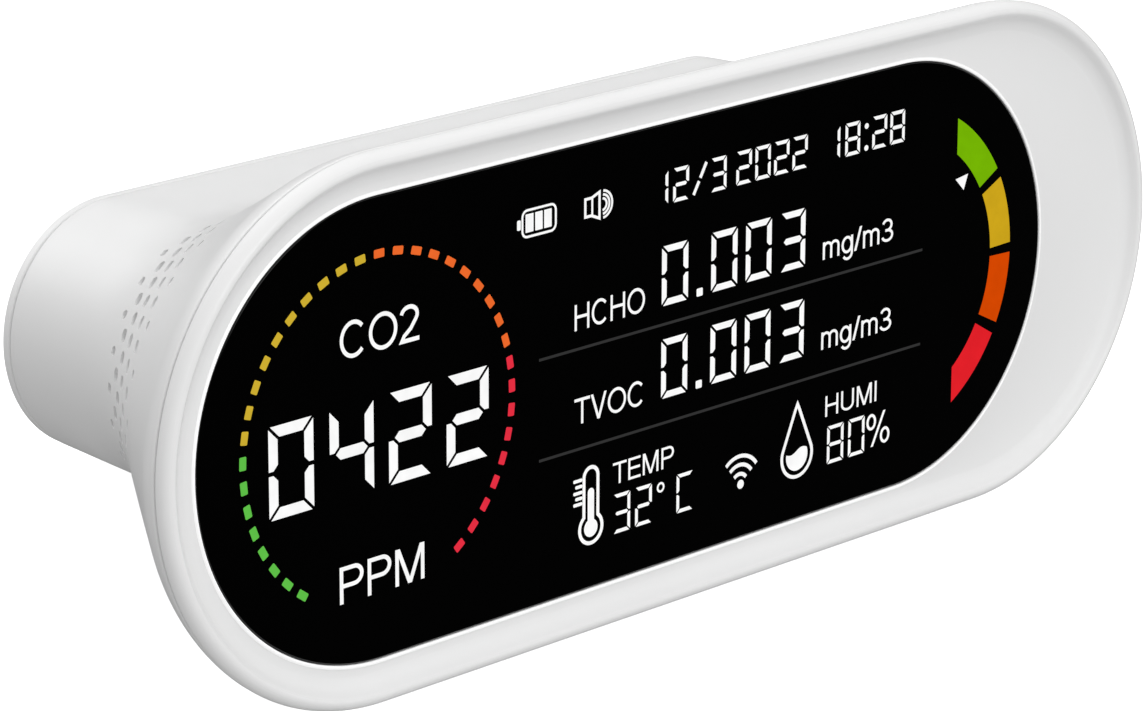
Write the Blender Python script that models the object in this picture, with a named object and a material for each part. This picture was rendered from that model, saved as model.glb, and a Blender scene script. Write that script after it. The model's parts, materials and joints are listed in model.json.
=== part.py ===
"""Desktop air quality monitor: a stadium-shaped display tray on a flared, vented rear body.

Everything is modelled in the display's own axes, in millimetres: X to the right along the face,
Y backwards from the front of the lens, Z up along the face, with the origin at the lens centre.
The empty named assembly then leans all of it back until the four rubber feet lie flat on Z = 0.
"""

import math

import bmesh
import bpy
import numpy as np
from mathutils import Vector

MM = 0.001
GAP = 0.3  # clearance kept between neighbouring pieces

# Lens and the tray that it sits in
LENS_WIDTH = 157.0
LENS_HEIGHT = 60.0
LENS_THICKNESS = 1.2
LENS_EDGE_GAP = 0.15
LENS_POCKET_DEPTH = 2.0
LENS_RADIUS = LENS_HEIGHT / 2
LENS_HALF_STRAIGHT = LENS_WIDTH / 2 - LENS_RADIUS
WINDOW_RADIUS = 25.5
TRAY_FLOOR_Y = 0.15

# Rim of the tray, whose centre lies to the right of the lens centre
RIM_CENTRE_X = 8.2
RIM_HALF_STRAIGHT = 57.0
RIM_RADIUS = 35.94
RIM_SEAM_Y = 0.42
RIDGE_RADIUS = 34.47
RIDGE_Y = -1.5
REBATE_RADIUS = 33.0
REBATE_Y = 2.2
PLUG_RADIUS = 31.0
PLUG_Y = 4.2

# Rear shell: a straight cone that runs into a slightly tapered stadium body
FLARE_START_Y = 3.0
FLARE_START_RADIUS = 35.41
FLARE_SLOPE = 0.612
FLARE_BLEND = 4.63
RIM_WALL_SLOPE = 0.12
RIM_BLEND = 1.13
BODY_RADIUS = 17.04
BODY_TAPER = 0.0427
BODY_HALF_STRAIGHT = 55.0
BODY_CENTRE_Z = 2.2
BODY_RISE_POWER = 1.94
BODY_END_Y = 55.44
COVER_SEAM_Y = 53.84
WALL = 2.0

# Vent holes round both ends of the flare
VENT_ROWS = 21
VENT_PITCH_ANGLE = 7.0
VENT_CENTRE_ANGLE = 177.0
VENT_RADIUS = 0.75
VENT_SIDES = 4
VENT_WIDE_Y = (18.9, 23.0, 26.7, 30.3)
VENT_NARROW_Y = (21.0, 25.1, 28.2)

# Boards, from front to back
REFLECTOR_RADIUS = 24.2
REFLECTOR_Y = (2.6, 8.6)
DISPLAY_BOARD_Y = (8.9, 10.5)
DISPLAY_BOARD_RADIUS = 28.0
DISPLAY_SCREW_X = 40.0
DISPLAY_SCREW_Z = 25.4
STANDOFF_X = (-48.0, 62.0)
STANDOFF_Z = (-10.0, 13.0)
MAIN_BOARD_Y = (22.0, 23.6)
MAIN_BOARD_X = (-52.0, 66.0)
MAIN_BOARD_Z = (-13.5, 16.5)
PART_SEAT_Y = MAIN_BOARD_Y[1] + GAP

# Battery, rear board and what shows on the rear cover
CELL_RADIUS = 9.2
CELL_X = (9.0, 74.0)
CELL_CENTRE_Y = 38.0
CELL_SIDES = 20
REAR_BOARD_X = (-46.0, 7.5)
REAR_BOARD_Y = (46.0, 47.2)
REAR_BOARD_HALF_HEIGHT = 7.0
BUTTONS = {"power_button": -38.0, "menu_button": -27.0, "set_button": -16.0}
BUTTON_RADIUS = 3.2
BUTTON_FLANGE_RADIUS = 4.4
BUTTON_PROUD = 0.8
BUTTON_PLAY = 0.45  # gap between a cap and its switch at rest, just over the cap's 0.4 travel
SWITCH_HEIGHT = 3.25
USB_X = 1.5
USB_WIDTH = 9.0
USB_HEIGHT = 3.3
COVER_SCREW_X = 50.0
COVER_SCREW_Z = 10.5
COVER_PLATE_Y = 52.6

# Feet, and how far the rim and the rear edge hang clear of the table
FOOT_LENGTH = 15.0
FRONT_FOOT_Y = (4.0, 10.0)
REAR_FOOT_Y = (45.0, 53.0)
FRONT_FOOT_X = 45.0
REAR_FOOT_X = 37.0
RIM_CLEARANCE = 1.2
REAR_CLEARANCE = 1.0

ARC_STEPS = 14  # segments in each half circle of a stadium outline
ROUND_SIDES = 16
SCREW_SIDES = 10
SCREW_HOLE_RADIUS = 1.3  # clears the shank of every board screw


# ---------------------------------------------------------------------------- scene and materials


def clear_scene():
    for item in list(bpy.data.objects):
        bpy.data.objects.remove(item, do_unlink=True)


def principled(name, colour, roughness, metallic=0.0):
    material = bpy.data.materials.new(name)
    material.use_nodes = True
    shader = material.node_tree.nodes["Principled BSDF"]
    shader.inputs["Base Color"].default_value = (*colour, 1.0)
    shader.inputs["Roughness"].default_value = roughness
    shader.inputs["Metallic"].default_value = metallic
    return material


clear_scene()
WHITE_ABS = principled("white_abs", (0.86, 0.86, 0.87), 0.45)
BLACK_LENS = principled("black_lens", (0.004, 0.004, 0.005), 0.08)
BLACK_TAPE = principled("black_tape", (0.02, 0.02, 0.02), 0.9)
PRINTED_FILM = principled("printed_film", (0.05, 0.05, 0.05), 0.4)
REFLECTOR_WHITE = principled("reflector_white", (0.8, 0.8, 0.78), 0.6)
BOARD_GREEN = principled("board_green", (0.02, 0.16, 0.07), 0.45)
STEEL = principled("plated_steel", (0.62, 0.62, 0.64), 0.3, 1.0)
BRASS = principled("brass", (0.72, 0.53, 0.22), 0.3, 1.0)
BLACK_PLASTIC = principled("black_plastic", (0.02, 0.02, 0.022), 0.5)
CELL_SLEEVE = principled("cell_sleeve", (0.05, 0.22, 0.42), 0.4)
RUBBER = principled("grey_rubber", (0.16, 0.16, 0.17), 0.85)
WIRE_JACKET = principled("wire_jacket", (0.35, 0.02, 0.02), 0.5)

assembly = bpy.data.objects.new("assembly", None)
bpy.context.scene.collection.objects.link(assembly)


# ---------------------------------------------------------------------------- shape helpers


def smooth_min(a, b, width):
    """The lower of two lines, rounded where they cross over the given width."""
    share = min(max(0.5 + 0.5 * (a - b) / width, 0.0), 1.0)
    return a * (1 - share) + b * share - width * share * (1 - share)


def smooth_max(a, b, width):
    return -smooth_min(-a, -b, width)


def shell_section(y, inset=0.0):
    """The stadium section of the rear shell at depth y, as a ring, with its radius reduced by inset."""
    flare = FLARE_START_RADIUS - FLARE_SLOPE * (y - FLARE_START_Y)
    body = BODY_RADIUS + BODY_TAPER * (BODY_END_Y - y)
    wall = RIM_RADIUS - RIM_WALL_SLOPE * (y - RIM_SEAM_Y)
    radius = smooth_min(wall, smooth_max(flare, body, FLARE_BLEND), RIM_BLEND)
    share = max((RIM_RADIUS - radius) / (RIM_RADIUS - BODY_RADIUS), 0.0)
    half_straight = RIM_HALF_STRAIGHT + (BODY_HALF_STRAIGHT - RIM_HALF_STRAIGHT) * share
    centre_z = BODY_CENTRE_Z * share**BODY_RISE_POWER
    return (y, radius - inset, half_straight, RIM_CENTRE_X, centre_z)


def stadium(y, radius, half_straight, centre_x=0.0, centre_z=0.0):
    """Points of a stadium outline at depth y: two half circles joined by straight sides."""
    turn = np.linspace(-math.pi / 2, math.pi / 2, ARC_STEPS + 1)
    points = []
    for side in (1, -1):
        for angle in turn:
            reach = half_straight + radius * math.cos(angle)
            points.append((centre_x + side * reach, y, centre_z + side * radius * math.sin(angle)))
    return points


def rim(y, radius):
    return stadium(y, radius, RIM_HALF_STRAIGHT, RIM_CENTRE_X)


def rear(y, radius):
    return stadium(y, radius, BODY_HALF_STRAIGHT, RIM_CENTRE_X, BODY_CENTRE_Z)


def lens_outline(y, radius):
    return stadium(y, radius, LENS_HALF_STRAIGHT)


def circle(y, radius, sides=ROUND_SIDES):
    """Points of a circle round the Y axis at depth y."""
    turn = [2 * math.pi * k / sides for k in range(sides)]
    return [(radius * math.cos(a), y, radius * math.sin(a)) for a in turn]


def add_object(name, mesh_data, material, at=(0.0, 0.0, 0.0), smooth=True):
    """Puts a bmesh given in millimetres into a named object that rides on the assembly."""
    bmesh.ops.recalc_face_normals(mesh_data, faces=mesh_data.faces)
    bmesh.ops.scale(mesh_data, vec=(MM, MM, MM), verts=mesh_data.verts)
    mesh = bpy.data.meshes.new(name)
    mesh_data.to_mesh(mesh)
    mesh_data.free()
    mesh.materials.append(material)
    if smooth:
        mesh.shade_smooth()
        mesh.set_sharp_from_angle(angle=math.radians(35))
    item = bpy.data.objects.new(name, mesh)
    bpy.context.scene.collection.objects.link(item)
    item.parent = assembly
    item.location = Vector(at) * MM
    return item


def loft(name, rings, material, at=(0.0, 0.0, 0.0), closed=False):
    """Solid whose surface runs through rings of equal count, capped at both ends or closed on itself."""
    data = bmesh.new()
    made = [[data.verts.new(point) for point in ring] for ring in rings]
    count = len(made[0])
    pairs = list(zip(made, made[1:]))
    if closed:
        pairs.append((made[-1], made[0]))
    for first, second in pairs:
        for k in range(count):
            following = (k + 1) % count
            data.faces.new((first[k], first[following], second[following], second[k]))
    if not closed:
        data.faces.new(made[0])
        data.faces.new(made[-1])
    return add_object(name, data, material, at)


def box(name, x, y, z, material):
    """Box between the two ends given for each axis."""
    data = bmesh.new()
    bmesh.ops.create_cube(data, size=1.0)
    size = (x[1] - x[0], y[1] - y[0], z[1] - z[0])
    bmesh.ops.scale(data, vec=size, verts=data.verts)
    middle = ((x[0] + x[1]) / 2, (y[0] + y[1]) / 2, (z[0] + z[1]) / 2)
    bmesh.ops.translate(data, vec=middle, verts=data.verts)
    return add_object(name, data, material, smooth=False)


def side_prism(name, outline, x, material):
    """Prism along X over an outline of (y, z) points."""
    rings = [[(end, point[0], point[1]) for point in outline] for end in x]
    data = bmesh.new()
    made = [[data.verts.new(point) for point in ring] for ring in rings]
    count = len(outline)
    for k in range(count):
        following = (k + 1) % count
        data.faces.new((made[0][k], made[0][following], made[1][following], made[1][k]))
    data.faces.new(made[0])
    data.faces.new(made[1])
    return add_object(name, data, material, smooth=False)


def combine(target, other, operation):
    """Boolean of another object into the target, which then counts as a helper."""
    other.hide_render = True
    other.display_type = "WIRE"
    modifier = target.modifiers.new(f"{operation.lower()}_{other.name}", "BOOLEAN")
    modifier.operation = operation
    modifier.solver = "EXACT"
    modifier.object = other


def cut(target, cutter):
    combine(target, cutter, "DIFFERENCE")


def join(target, other):
    combine(target, other, "UNION")


def wire(name, points, radius, material):
    """A soft lead as a round tube along a smooth curve through a few points."""
    controls = [Vector(point) for point in points]
    ends = [2 * controls[0] - controls[1], *controls, 2 * controls[-1] - controls[-2]]
    route = []
    for before, start, stop, after in zip(ends, ends[1:], ends[2:], ends[3:]):
        for step in range(6):
            t = step / 6
            route.append(
                0.5 * (2 * start + (stop - before) * t + (2 * before - 5 * start + 4 * stop - after) * t**2
                       + (3 * start - before - 3 * stop + after) * t**3)
            )
    route.append(controls[-1])
    curve = bpy.data.curves.new(name, "CURVE")
    curve.dimensions = "3D"
    curve.bevel_depth = radius * MM
    curve.bevel_resolution = 1
    curve.use_fill_caps = True
    spline = curve.splines.new("POLY")
    spline.points.add(len(route) - 1)
    for point, place in zip(spline.points, route):
        point.co = (*(place * MM), 1.0)
    curve.materials.append(material)
    item = bpy.data.objects.new(name, curve)
    bpy.context.scene.collection.objects.link(item)
    item.parent = assembly
    return item


# ---------------------------------------------------------------------------- front group


def make_front_bezel():
    """White tray: a raised rounded lip round a flat floor, with a stepped pocket for the lens."""
    rings = [
        rim(PLUG_Y, PLUG_RADIUS),
        rim(REBATE_Y, PLUG_RADIUS),
        rim(REBATE_Y, REBATE_RADIUS),
        rim(RIM_SEAM_Y, REBATE_RADIUS),
        rim(RIM_SEAM_Y, RIM_RADIUS),
        rim(-0.35, RIM_RADIUS - 0.12),
        rim(-0.95, RIM_RADIUS - 0.45),
        rim(-1.35, RIM_RADIUS - 0.95),
        rim(RIDGE_Y, RIDGE_RADIUS),
        rim(-1.3, RIDGE_RADIUS - 0.45),
        rim(-0.55, RIDGE_RADIUS - 1.2),
        rim(-0.05, RIDGE_RADIUS - 2.1),
        rim(TRAY_FLOOR_Y, RIDGE_RADIUS - 3.1),
    ]
    bezel = loft("front_bezel", rings, WHITE_ABS)
    for sign_x in (-1, 1):
        for sign_z in (-1, 1):
            foot, tip = LENS_POCKET_DEPTH + 1.0, DISPLAY_BOARD_Y[0] - GAP
            post = loft(
                f"display_post_{sign_x}_{sign_z}",
                [circle(foot, 2.2, SCREW_SIDES), circle(tip, 2.0, SCREW_SIDES)],
                WHITE_ABS,
                (sign_x * DISPLAY_SCREW_X, 0, sign_z * DISPLAY_SCREW_Z),
            )
            join(bezel, post)
    in_front, behind = -5, 12  # cutters start and end clear of the tray
    pocket_radius = LENS_RADIUS + LENS_EDGE_GAP
    pocket_ends = [lens_outline(y, pocket_radius) for y in (in_front, LENS_POCKET_DEPTH)]
    pocket = loft("lens_pocket", pocket_ends, WHITE_ABS)
    cut(bezel, pocket)
    window = loft("window_opening", [lens_outline(y, WINDOW_RADIUS) for y in (in_front, behind)], WHITE_ABS)
    cut(bezel, window)
    relief = loft("bezel_relief", [rim(REBATE_Y, 28.5), rim(8, 28.5)], WHITE_ABS)
    keep = loft("lens_ledge_keep", [lens_outline(1, 32.0), lens_outline(9, 32.0)], WHITE_ABS)
    cut(relief, keep)
    cut(bezel, relief)
    for sign_x in (-1, 1):
        for sign_z in (-1, 1):
            bore = loft(
                f"post_bore_{sign_x}_{sign_z}",
                [circle(5.0, 1.2, SCREW_SIDES), circle(12.0, 1.2, SCREW_SIDES)],
                WHITE_ABS,
                (sign_x * DISPLAY_SCREW_X, 0, sign_z * DISPLAY_SCREW_Z),
            )
            cut(bezel, bore)


def make_lens_group():
    """Black lens with a fine front chamfer, its adhesive ring, the printed film and the reflector block."""
    chamfer = 0.25
    loft(
        "display_lens",
        [
            lens_outline(LENS_THICKNESS, LENS_RADIUS),
            lens_outline(chamfer, LENS_RADIUS),
            lens_outline(0.0, LENS_RADIUS - chamfer),
        ],
        BLACK_LENS,
    )
    front, back = LENS_THICKNESS + 0.2, LENS_POCKET_DEPTH - 0.2
    outer, inner = LENS_RADIUS - 0.4, WINDOW_RADIUS + 0.6
    loft(
        "lens_adhesive",
        [
            lens_outline(front, inner),
            lens_outline(front, outer),
            lens_outline(back, outer),
            lens_outline(back, inner),
        ],
        BLACK_TAPE,
        closed=True,
    )
    film_ends = [lens_outline(y, REFLECTOR_RADIUS) for y in (1.7, 2.1)]
    loft("segment_film", film_ends, PRINTED_FILM)
    loft(
        "segment_reflector",
        [lens_outline(REFLECTOR_Y[0], REFLECTOR_RADIUS), lens_outline(REFLECTOR_Y[1], REFLECTOR_RADIUS)],
        REFLECTOR_WHITE,
    )


def screw(name, head_y, tip_y, at, head_radius, shank_radius):
    """Pan-head screw along Y with its head at the back and a tapered driver recess."""
    head_height = 1.2
    loft(
        name,
        [
            circle(tip_y, shank_radius, SCREW_SIDES),
            circle(head_y, shank_radius, SCREW_SIDES),
            circle(head_y, head_radius, SCREW_SIDES),
            circle(head_y + 0.8 * head_height, head_radius, SCREW_SIDES),
            circle(head_y + head_height, 0.8 * head_radius, SCREW_SIDES),
            circle(head_y + head_height, 0.4 * head_radius, SCREW_SIDES),
            circle(head_y + 0.4 * head_height, 0.35 * head_radius, SCREW_SIDES),
        ],
        STEEL,
        (at[0], 0, at[1]),
    )


def round_hole(target, name, ends, radius, at, material):
    """Drills a round hole through the target along Y, between the two ends and centred on at."""
    drill = loft(name, [circle(y, radius, SCREW_SIDES) for y in ends], material, (at[0], 0, at[1]))
    cut(target, drill)


def make_display_board():
    board = loft(
        "display_board",
        [lens_outline(y, DISPLAY_BOARD_RADIUS) for y in DISPLAY_BOARD_Y],
        BOARD_GREEN,
    )
    number = 0
    for x in (-DISPLAY_SCREW_X, DISPLAY_SCREW_X):
        for z in (-DISPLAY_SCREW_Z, DISPLAY_SCREW_Z):
            number += 1
            round_hole(board, f"display_board_hole_{number}", (7, 12), SCREW_HOLE_RADIUS, (x, z), BOARD_GREEN)
            screw(f"display_screw_{number}", DISPLAY_BOARD_Y[1] + 0.1, 6.0, (x, z), 1.7, 0.9)


# ---------------------------------------------------------------------------- electronics


def make_main_board():
    """Main board on four brass standoffs, with one screw in each."""
    board = box("main_board", MAIN_BOARD_X, MAIN_BOARD_Y, MAIN_BOARD_Z, BOARD_GREEN)
    number = 0
    for x in STANDOFF_X:
        for z in STANDOFF_Z:
            number += 1
            round_hole(board, f"main_board_hole_{number}", (20, 26), SCREW_HOLE_RADIUS, (x, z), BOARD_GREEN)
            ends = (DISPLAY_BOARD_Y[1] + GAP, MAIN_BOARD_Y[0] - GAP)
            hexagons = [circle(y, 2.5, 6) for y in ends]
            standoff = loft(f"board_standoff_{number}", hexagons, BRASS, (x, 0, z))
            round_hole(standoff, f"standoff_bore_{number}", (17, 26), SCREW_HOLE_RADIUS, (x, z), BRASS)
            screw(f"main_board_screw_{number}", MAIN_BOARD_Y[1] + 0.1, 18.0, (x, z), 1.9, 0.9)


def make_sensors():
    """The sensing modules, wireless module and buzzer on the back of the main board."""
    seat = PART_SEAT_Y
    co2 = box("co2_sensor", (-34, -1), (seat, seat + 10), (-9, 13), BRASS)
    for k in range(3):
        slot = box(f"co2_slot_{k}", (-29 + 9 * k, -24 + 9 * k), (seat + 8.5, seat + 12), (-5, 9), BRASS)
        cut(co2, slot)
    box("tvoc_sensor", (-46, -37), (seat, seat + 3), (-12, -3), STEEL)
    can = [circle(seat, 5.0), circle(seat + 6, 5.0), circle(seat + 6, 3.6), circle(seat + 7, 3.4)]
    loft("hcho_sensor", can, STEEL, (-41, 0, 4))
    box("temp_humidity_sensor", (47, 55), (seat, seat + 4), (-12.5, -8), REFLECTOR_WHITE)
    box("wifi_module", (14, 32), (seat, seat + 3), (-6, 9), STEEL)
    drum = [circle(seat, 4.6), circle(seat + 4.2, 4.6), circle(seat + 4.2, 1.0), circle(seat + 3.2, 1.0)]
    loft("buzzer", drum, BLACK_PLASTIC, (42, 0, 3))
    between_boards = (DISPLAY_BOARD_Y[1] + GAP, MAIN_BOARD_Y[0] - GAP)
    box("display_ribbon", (-8, 4), between_boards, (-8.2, -7.8), REFLECTOR_WHITE)


def make_battery():
    """One round lithium cell lying along X in a moulded cradle, with its two-wire lead."""

    def ring_round_cell(x, radius):
        turn = [2 * math.pi * k / CELL_SIDES for k in range(CELL_SIDES)]
        return [(x, CELL_CENTRE_Y + radius * math.cos(a), BODY_CENTRE_Z + radius * math.sin(a)) for a in turn]

    start, stop = CELL_X
    edge = 0.6  # rolled edge of the can
    rings = [
        ring_round_cell(start, CELL_RADIUS - edge),
        ring_round_cell(start + edge, CELL_RADIUS),
        ring_round_cell(stop - edge, CELL_RADIUS),
        ring_round_cell(stop, CELL_RADIUS - edge),
    ]
    loft("battery_cell", rings, CELL_SLEEVE)
    cradle = box("battery_cradle", (16, 48), (32, 44), (-11.4, -4), BLACK_PLASTIC)
    hollow = loft("cradle_hollow", [ring_round_cell(x, CELL_RADIUS + GAP) for x in (10, 70)], BLACK_PLASTIC)
    cut(cradle, hollow)
    wire("battery_lead", [(6.5, 24.6, 6), (6.5, 27, 6), (5.5, 31, 4.5), (7.0, 35, 3)], 0.9, WIRE_JACKET)


def make_rear_board():
    """Small board behind the rear cover, with a switch under each button and the charging socket."""
    z = (BODY_CENTRE_Z - REAR_BOARD_HALF_HEIGHT, BODY_CENTRE_Z + REAR_BOARD_HALF_HEIGHT)
    box("rear_board", REAR_BOARD_X, REAR_BOARD_Y, z, BOARD_GREEN)
    seat = REAR_BOARD_Y[1] + 0.2
    half = 3.0
    for name, x in BUTTONS.items():
        switch = box(
            name.replace("button", "switch"),
            (x - half, x + half),
            (seat, seat + 3.0),
            (BODY_CENTRE_Z - half, BODY_CENTRE_Z + half),
            BLACK_PLASTIC,
        )
        stem = [circle(y, 1.7, SCREW_SIDES) for y in (seat + 2.5, seat + SWITCH_HEIGHT)]
        join(switch, loft(f"{name}_plunger", stem, BLACK_PLASTIC, (x, 0, BODY_CENTRE_Z)))
    half_width, half_height = USB_WIDTH / 2, USB_HEIGHT / 2
    socket = box(
        "usb_socket",
        (USB_X - half_width, USB_X + half_width),
        (seat, BODY_END_Y - 0.25),
        (BODY_CENTRE_Z - half_height, BODY_CENTRE_Z + half_height),
        STEEL,
    )
    wall = 0.35
    mouth = box(
        "usb_mouth",
        (USB_X - half_width + wall, USB_X + half_width - wall),
        (BODY_END_Y - 6.4, BODY_END_Y + 2),
        (BODY_CENTRE_Z - half_height + wall, BODY_CENTRE_Z + half_height - wall),
        STEEL,
    )
    half_tongue_width, half_tongue_height = 3.3, 0.35
    tongue = box(
        "usb_tongue",
        (USB_X - half_tongue_width, USB_X + half_tongue_width),
        (BODY_END_Y - 7, BODY_END_Y - 1.2),
        (BODY_CENTRE_Z - half_tongue_height, BODY_CENTRE_Z + half_tongue_height),
        STEEL,
    )
    cut(mouth, tongue)
    cut(socket, mouth)
    route = [(-49.5, 24.8, -4), (-50, 30, -5), (-49, 38, -4), (-44, 42, -1), (-43, 45.2, -0.5)]
    wire("rear_lead", route, 1.0, WIRE_JACKET)


# ---------------------------------------------------------------------------- rear group


def vent_cutter(name, side):
    """All the vent holes of one end (side -1 left, 1 right) as short prisms square to the surface."""
    data = bmesh.new()
    half_rows = VENT_ROWS // 2
    for row in range(-half_rows, half_rows + 1):
        angle = math.radians(VENT_CENTRE_ANGLE + row * VENT_PITCH_ANGLE)
        depths = VENT_NARROW_Y if row % 2 else VENT_WIDE_Y
        if abs(row) == half_rows:
            depths = depths[1:3]
        for y in depths:
            _, radius, half_straight, centre_x, centre_z = shell_section(y)
            ahead = shell_section(y + 0.1)[1]
            slope = (radius - ahead) / 0.1
            outward = Vector((side * -math.cos(angle), slope, math.sin(angle))).normalized()
            across = Vector((side * math.sin(angle), 0, math.cos(angle)))
            along = outward.cross(across)
            across_x = side * (half_straight - radius * math.cos(angle))
            middle = Vector((centre_x + across_x, y, centre_z + radius * math.sin(angle)))
            ends = []
            for reach in (-1.6 * WALL, 0.5 * WALL):
                ring = []
                for k in range(VENT_SIDES):
                    turn = 2 * math.pi * k / VENT_SIDES
                    edge = across * math.cos(turn) + along * math.sin(turn)
                    ring.append(data.verts.new(middle + outward * reach + edge * VENT_RADIUS))
                ends.append(ring)
            for k in range(VENT_SIDES):
                following = (k + 1) % VENT_SIDES
                data.faces.new((ends[0][k], ends[0][following], ends[1][following], ends[1][k]))
            data.faces.new(ends[0])
            data.faces.new(ends[1])
    return add_object(name, data, WHITE_ABS, smooth=False)


def make_rear_shell():
    """White shell: rim wall, straight flare, blend and tapered body, open at the front and the back."""
    blend_depths = [12.0, 19.0, 22.0, 24.5, 27.0, 29.5, 32.5, 38.0]
    depths = [RIM_SEAM_Y + GAP, 1.6, 2.4, 3.2, 4.4, *blend_depths, COVER_SEAM_Y - GAP]
    slant = WALL * math.hypot(1, FLARE_SLOPE)
    outer = [stadium(*shell_section(y)) for y in depths]
    inner = [stadium(*shell_section(y, WALL if y < 2 or y > 32 else slant)) for y in depths]
    shell = loft("rear_shell", outer + inner[::-1], WHITE_ABS, closed=True)
    number = 0
    for sign_x in (-1, 1):
        for sign_z in (-1, 1):
            number += 1
            x, z = RIM_CENTRE_X + sign_x * COVER_SCREW_X, BODY_CENTRE_Z + sign_z * COVER_SCREW_Z
            front, back = 44.5, 50.3
            boss_ends = [circle(y, 2.9, SCREW_SIDES) for y in (front, back)]
            join(shell, loft(f"cover_boss_{number}", boss_ends, WHITE_ABS, (x, 0, z)))
            reach = BODY_CENTRE_Z + sign_z * (BODY_RADIUS - 0.8)
            rib_depth = (front + 0.2, back - 0.2)
            rib = box(f"boss_rib_{number}", (x - 1, x + 1), rib_depth, sorted((z + sign_z, reach)), WHITE_ABS)
            join(shell, rib)
            bore_ends = (front + 1, back + 4)
            round_hole(shell, f"boss_bore_{number}", bore_ends, SCREW_HOLE_RADIUS, (x, z), WHITE_ABS)
    cut(shell, vent_cutter("left_vents", -1))
    cut(shell, vent_cutter("right_vents", 1))


def make_rear_cover():
    """White end cap with a locating lip, three button holes, the socket slot and four sunk screw seats."""
    end = BODY_END_Y
    rings = [
        rear(COVER_PLATE_Y, 13.0),
        rear(50.6, 13.0),
        rear(50.6, 14.5),
        rear(COVER_SEAM_Y, 14.5),
        rear(COVER_SEAM_Y, BODY_RADIUS + 0.07),
        rear(end - 0.6, BODY_RADIUS),
        rear(end - 0.18, BODY_RADIUS - 0.25),
        rear(end, BODY_RADIUS - 0.85),
    ]
    cover = loft("rear_cover", rings, WHITE_ABS)
    through = (48, 58)  # every cutter runs clear of both sides of the cover
    for name, x in BUTTONS.items():
        hole_ends = [circle(y, BUTTON_RADIUS + GAP) for y in through]
        cut(cover, loft(f"{name}_hole", hole_ends, WHITE_ABS, (x, 0, BODY_CENTRE_Z)))
    half_width, half_height = USB_WIDTH / 2 + GAP, USB_HEIGHT / 2 + GAP
    slot = box(
        "usb_slot",
        (USB_X - half_width, USB_X + half_width),
        through,
        (BODY_CENTRE_Z - half_height, BODY_CENTRE_Z + half_height),
        WHITE_ABS,
    )
    cut(cover, slot)
    number = 0
    for sign_x in (-1, 1):
        for sign_z in (-1, 1):
            number += 1
            x, z = RIM_CENTRE_X + sign_x * COVER_SCREW_X, BODY_CENTRE_Z + sign_z * COVER_SCREW_Z
            seat_y = end - 1.5
            round_hole(cover, f"screw_seat_{number}", (seat_y, through[1]), 2.6, (x, z), WHITE_ABS)
            round_hole(cover, f"screw_hole_{number}", (through[0], 56), 1.4, (x, z), WHITE_ABS)
            screw(f"cover_screw_{number}", seat_y + 0.1, 46.2, (x, z), 2.2, 1.0)


def make_buttons():
    """Round caps on a flange, each with its origin on the line that it slides along."""
    flange_front = REAR_BOARD_Y[1] + 0.2 + SWITCH_HEIGHT + BUTTON_PLAY
    for name, x in BUTTONS.items():
        rings = [
            circle(flange_front, BUTTON_FLANGE_RADIUS),
            circle(flange_front + 1.0, BUTTON_FLANGE_RADIUS),
            circle(flange_front + 1.0, BUTTON_RADIUS),
            circle(BODY_END_Y + BUTTON_PROUD - 0.3, BUTTON_RADIUS),
            circle(BODY_END_Y + BUTTON_PROUD, BUTTON_RADIUS - 0.35),
        ]
        loft(name, rings, WHITE_ABS, (x, 0, BODY_CENTRE_Z))


# ---------------------------------------------------------------------------- standing on the table


def lean_angle():
    """The lean that keeps the rim and the rear edge their own clearances above one flat table."""
    drop = (BODY_CENTRE_Z - BODY_RADIUS) + RIM_RADIUS
    run = BODY_END_Y - RIM_SEAM_Y
    tilt = math.atan2(drop, run)
    return tilt + math.asin((RIM_CLEARANCE - REAR_CLEARANCE) / math.hypot(drop, run))


def table_line(y):
    """Height of the table, in the display's own axes, at depth y."""
    lean = lean_angle()
    below_rim = -RIM_RADIUS - RIM_CLEARANCE / math.cos(lean)
    return below_rim + math.tan(lean) * (y - RIM_SEAM_Y)


def make_feet():
    """Four rubber wedges whose undersides lie in the table plane."""
    for place, depths, offset in (("front", FRONT_FOOT_Y, FRONT_FOOT_X), ("rear", REAR_FOOT_Y, REAR_FOOT_X)):
        for side, sign in (("left", -1), ("right", 1)):
            middle = RIM_CENTRE_X + sign * offset
            outline = []
            for y in depths:
                _, radius, _, _, centre_z = shell_section(y)
                outline.append((y, centre_z - radius - GAP))
            outline += [(y, table_line(y)) for y in reversed(depths)]
            ends = (middle - FOOT_LENGTH / 2, middle + FOOT_LENGTH / 2)
            side_prism(f"{place}_foot_{side}", outline, ends, RUBBER)


def stand_assembly():
    """Leans the assembly back onto its feet and puts the middle of its box above the origin."""
    assembly.rotation_euler = (-lean_angle(), 0.0, 0.0)
    bpy.context.view_layer.update()
    graph = bpy.context.evaluated_depsgraph_get()
    points = []
    for item in bpy.context.scene.objects:
        if item.type != "MESH" or item.hide_render:
            continue
        evaluated = item.evaluated_get(graph)
        mesh = evaluated.to_mesh()
        coordinates = np.empty(len(mesh.vertices) * 3)
        mesh.vertices.foreach_get("co", coordinates)
        world = np.array(item.matrix_world)
        points.append(coordinates.reshape(-1, 3) @ world[:3, :3].T + world[:3, 3])
        evaluated.to_mesh_clear()
    points = np.concatenate(points)
    low, high = points.min(axis=0), points.max(axis=0)
    assembly.location = (-(low[0] + high[0]) / 2, -(low[1] + high[1]) / 2, -low[2])


make_front_bezel()
make_lens_group()
make_display_board()
make_main_board()
make_sensors()
make_battery()
make_rear_board()
make_rear_shell()
make_rear_cover()
make_buttons()
make_feet()
stand_assembly()
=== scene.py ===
"""Looks of a desktop air quality monitor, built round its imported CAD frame.

Each section below is one piece of the monitor, in the order it is put together: white case,
black lens with its lit segments, rear cover with buttons and socket, feet, inner parts, studio.
"""

import json
import math

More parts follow.
